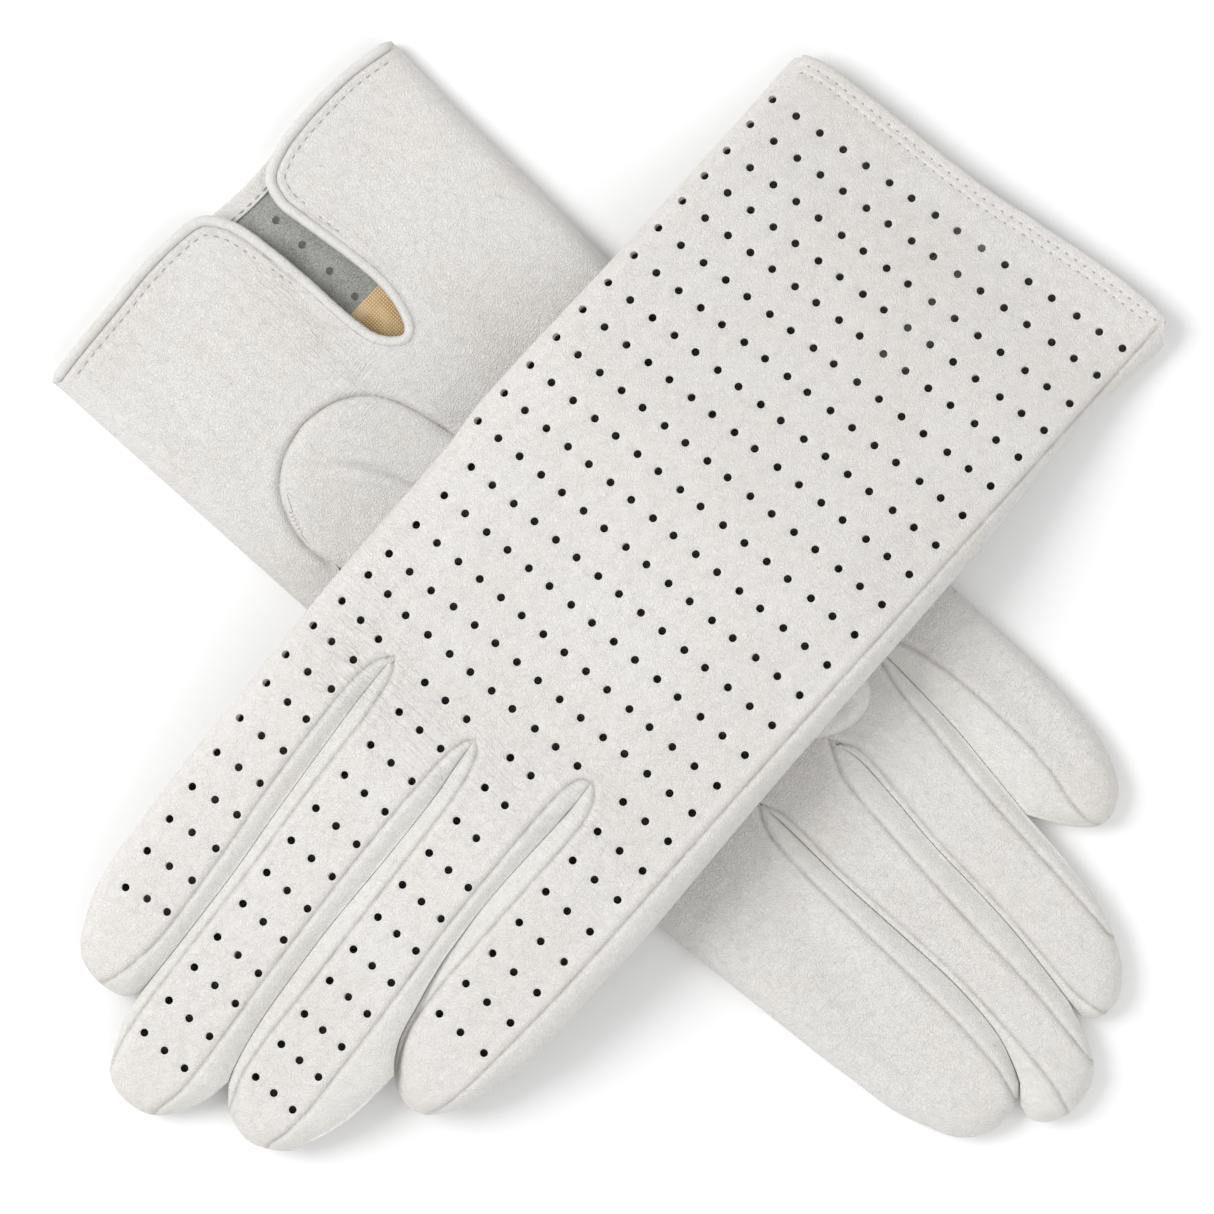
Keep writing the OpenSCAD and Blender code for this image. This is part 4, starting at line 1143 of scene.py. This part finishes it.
def stitches(name, s, rows, top, pitch=2.1, length=1.4, width=0.34, lift=0.06, over=0):
    """Thread stitches that lie on the leather, pulled in at both ends."""
    rng = np.random.default_rng(17 + 3 * s)
    one = tube_faces(STITCH_RINGS, STITCH_SIDES)
    out = 1 if top or over else -1
    pts, faces = [], []
    for line in rows:
        seg = np.concatenate([[0], np.cumsum(np.linalg.norm(np.diff(line, axis=0), axis=1))])
        for c in np.arange(pitch * 0.6, seg[-1] - pitch * 0.4, pitch):
            half = length / 2 * (1 + rng.normal(0, 0.05))
            at = np.linspace(c - half, c + half, STITCH_RINGS)
            xy = np.column_stack([np.interp(at, seg, line[:, k]) for k in (0, 1)])
            d = xy[-1] - xy[0]
            d /= np.linalg.norm(d)
            z, _ = height(s, None, top, xy[:, 0], xy[:, 1])
            first = len(pts)
            for i in range(STITCH_RINGS):
                e = math.sin(math.pi * (0.08 + 0.84 * i / (STITCH_RINGS - 1)))
                for k in range(STITCH_SIDES):
                    a = k * math.tau / STITCH_SIDES
                    off = width / 2 * e * math.cos(a)
                    rise = lift - 0.16 + 0.17 * e + width / 2 * e * math.sin(a) * 0.8
                    pts.append((xy[i][0] - d[1] * off, xy[i][1] + d[0] * off, z[i] + over + out * rise))
            faces += [tuple(first + v for v in f)[::out] for f in one]
    ob = make_object(name, s, np.array(pts), faces, [M_THREAD], [0] * len(faces), sharp=80)
    on_hand(ob, s, "thumb_leather")


def offset_line(line, d):
    q = line + left_of(line) * d
    far, _ = segments_distance(q, line)
    return q[far > np.abs(d).reshape(-1) * 0.96]


def build_label():
    w, h = 37, 20
    gx, gy = (c.ravel() for c in np.meshgrid(np.linspace(-24, 12, w), np.linspace(31.4, 50, h)))
    z, _ = height(RIGHT, None, False, gx, gy)
    lift = 0.68 + 0.05 * np.sin(gx / 3) * np.sin(gy / 4)
    lower = np.column_stack([gx, gy, z + lift])
    n = len(lower)
    faces = []
    for a in (j * w + i for j in range(h - 1) for i in range(w - 1)):
        faces.append((a, a + 1, a + w + 1, a + w))
        faces.append((n + a + w, n + a + w + 1, n + a + 1, n + a))
    ring = (list(range(w)) + [j * w + w - 1 for j in range(1, h)]
            + [(h - 1) * w + i for i in range(w - 2, -1, -1)] + [j * w for j in range(h - 2, 0, -1)])
    faces += [(b, a, a + n, b + n) for a, b in zip(ring, ring[1:] + ring[:1])]
    p = np.vstack([lower + [0, 0, 0.18], lower])
    ob = make_object("right_inner_label", RIGHT, p, faces, [M_SATIN], [0] * len(faces), sharp=50)
    on_hand(ob, RIGHT, "satin", "right_label")


def thumb_field(s, x, y, top):
    """Outer surface of the thumb's tube: near the root it grows out of the palm."""
    d, _ = segments_distance(np.column_stack([x, y]), np.vstack([THUMB_OUTLINE, THUMB_OUTLINE[:1]]))
    r = np.interp(y, [40, 66, 90, 155], [3.6, 4.6, 4.0, 3.6])
    q = np.sqrt(np.maximum(0, 1 - (1 - np.minimum(d / r, 1)) ** 2))
    root = smooth((86 - y) / 26)
    if s == RIGHT:
        high = H + 0.75 + (12.4 - H - 0.75) * smooth((y - 52) / 38)
        low, mid = 6.8, 9.6
        edge = mid * (1 - root) + (H - 0.35) * root
    else:
        b = table(np.where(y > 118, y + 5 * smooth((y - 118) / 12), y), DRAPE)
        low, high = b - 5.8, b - 0.2
        low = np.where(y > 118, np.maximum(low, 12.7), low)
        low = low + (high - 0.9 - low) * smooth((66 - y) / 22)
        mid = (low + high) / 2
        edge = mid * (1 - root) + (high + 0.3) * root
    w = leather(s, x + 40, y) * smooth(q * 1.5)
    if top:
        return edge + (high - edge) * q + w * (s == RIGHT)
    return edge + (low - edge) * q - w * 0.3 * (s == LEFT)


THUMB_CREASE = [(24.5, 46.2), (20.6, 48.7), (17.4, 52.5), (14.9, 57), (12.9, 61.8), (10.4, 69), (5, 84),
                (-2, 104), (-12, 134), (-16, 148)]


def build_thumb(s):
    """Hand to tip in one folded piece, open where it is set into the palm."""
    crease = curve(THUMB_CREASE)
    v, t = triangulate(THUMB_OUTLINE, grid=1.5, lines=[crease[crease[:, 1] < FOLD_MESHED]] * (s == RIGHT))
    parts = []
    for top in (True, False):
        tri = t
        facing_palm = top == (s == LEFT)
        if facing_palm:
            tri = t[v[t].mean(1)[:, 1] > THUMB_SET_IN]
        z = thumb_field(s, v[:, 0], v[:, 1], top)
        seam = np.zeros(len(v))
        if not facing_palm:
            d, at = segments_distance(v, crease)
            fade = smooth((at - 45.5) / 8) * (s == RIGHT)
            side_of = np.where(v[:, 0] > np.interp(at, crease[:, 1], crease[:, 0]), 1, -1)
            # painted shade along the thumb's crease and round its oval seam, kept in the seam attribute
            seam = 0.3 * np.exp(-(d / 0.35) ** 2) * fade
            z = z + (bumps(d, (-0.75, 0, 0.6)) + bumps(d * side_of, (0.7, 1.9, 1.5), (0.15, -1.6, 1.0))) * fade
            ring, _ = segments_distance(v, THUMB_OVAL)
            seam = np.maximum(seam, np.exp(-(ring / 0.3) ** 2) * (s == RIGHT))
        parts.append((np.column_stack([v, z]), tri if top else tri[:, ::-1], seam))
    p, t, a = weld(parts)
    t, p, a = used_only(t, p, a)
    n = NAMES[s]
    ob = shell(n + "_thumb_panel", s, p, t, a, [M_THUMB, M_SUEDE, M_EDGE])
    row_point(s, 5, 92, 5)
    row_point(s, 5, 112, 5)
    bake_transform(ob)
    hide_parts(n + "_thumb_base", n + "_thumb_tip")


for side in (RIGHT, LEFT):
    build_panels(side)
    build_binding(side)
    build_hem(side)
    build_thumb(side)
build_label()
palm_edge = curve(CUFF_PALM[RIGHT], 0.5)
palm_row = offset_line(palm_edge, 2.75 / draw_in(palm_edge[:, 0], palm_edge[:, 1])[:, None])
palm_row = palm_row[(np.abs(palm_row[:, 0]) < 43.6) & (palm_row[:, 1] < 35)]
gap = int(np.linalg.norm(np.diff(palm_row, axis=0), axis=1).argmax()) + 1
stitches("right_palm_stitches", RIGHT, [palm_row[:gap], palm_row[gap:]], True)
hem_rows = []
for d in (1.5, 3.1):
    row = offset_line(curve(CUFF_BACK[LEFT], 0.5), d)
    hem_rows.append(row[(row[:, 0] > -40.5) & (row[:, 0] < 43.8)])
stitches("left_hem_stitches", LEFT, hem_rows, True, length=0.85, width=0.3)
inner_row = offset_line(curve(CUFF_BACK[RIGHT], 0.5), 2.6)
stitches("right_hem_stitches", RIGHT, [inner_row[np.abs(inner_row[:, 0] + 5) < 22]], False, over=1.24)

# ---------------------------------------------------------------- floor, light, camera
floor_mesh = bpy.data.meshes.new("floor")
floor_mesh.from_pydata([(-1.5, -1.5, 0), (1.5, -1.5, 0), (1.5, 1.5, 0), (-1.5, 1.5, 0)], [], [(0, 1, 2, 3)])
floor = bpy.data.objects.new("floor", floor_mesh)
bpy.context.scene.collection.objects.link(floor)
floor.location.z = -0.0004
floor_mesh.materials.append(floor_material("floor_white"))

scene = bpy.context.scene
world = bpy.data.worlds.new("studio")
scene.world = world
world.use_nodes = True
background = world.node_tree.nodes["Background"]
background.inputs["Color"].default_value = (1, 1, 1, 1)
background.inputs["Strength"].default_value = 0.63
scene.view_settings.view_transform = "Standard"
scene.view_settings.look = "None"

IMG_RIGHT = Vector((-0.6820, 0.7314, 0)).normalized()
IMG_UP = Vector((-0.7314, -0.6820, 0)).normalized()
# what the picture is centred on
CENTRE = Vector(((4.9 - OX) / 1000, (105.4 - OY) / 1000, 0.008))


def area(name, direction, size, power, distance):
    data = bpy.data.lights.new(name, "AREA")
    data.shape = "DISK"
    data.size = size
    data.energy = power
    ob = bpy.data.objects.new(name, data)
    scene.collection.objects.link(ob)
    d = Vector(direction).normalized()
    ob.location = CENTRE + d * distance
    ob.rotation_euler = d.to_track_quat("Z", "Y").to_euler()


UP = Vector((0, 0, 1))
LENS, SENSOR, VIEW_WIDTH = 300, 36, 0.2313  # mm, mm, and the metres that the picture spans
area("key", UP * 0.8 - IMG_RIGHT * 0.75 + IMG_UP * 0.2, 1.0, 15.0, 1.6)
area("fill", UP * 0.9 + IMG_RIGHT * 0.7 - IMG_UP * 0.6, 1.2, 2.5, 1.0)

camera_data = bpy.data.cameras.new("camera")
camera = bpy.data.objects.new("camera", camera_data)
scene.collection.objects.link(camera)
camera_data.lens = LENS
camera_data.sensor_width = SENSOR
camera_data.clip_end = 20
distance = VIEW_WIDTH * LENS / SENSOR
m = Matrix.Identity(4)
for k in range(3):
    m[k][0], m[k][1], m[k][2] = IMG_RIGHT[k], IMG_UP[k], UP[k]
m.translation = CENTRE + UP * distance
camera.matrix_world = m
scene.camera = camera
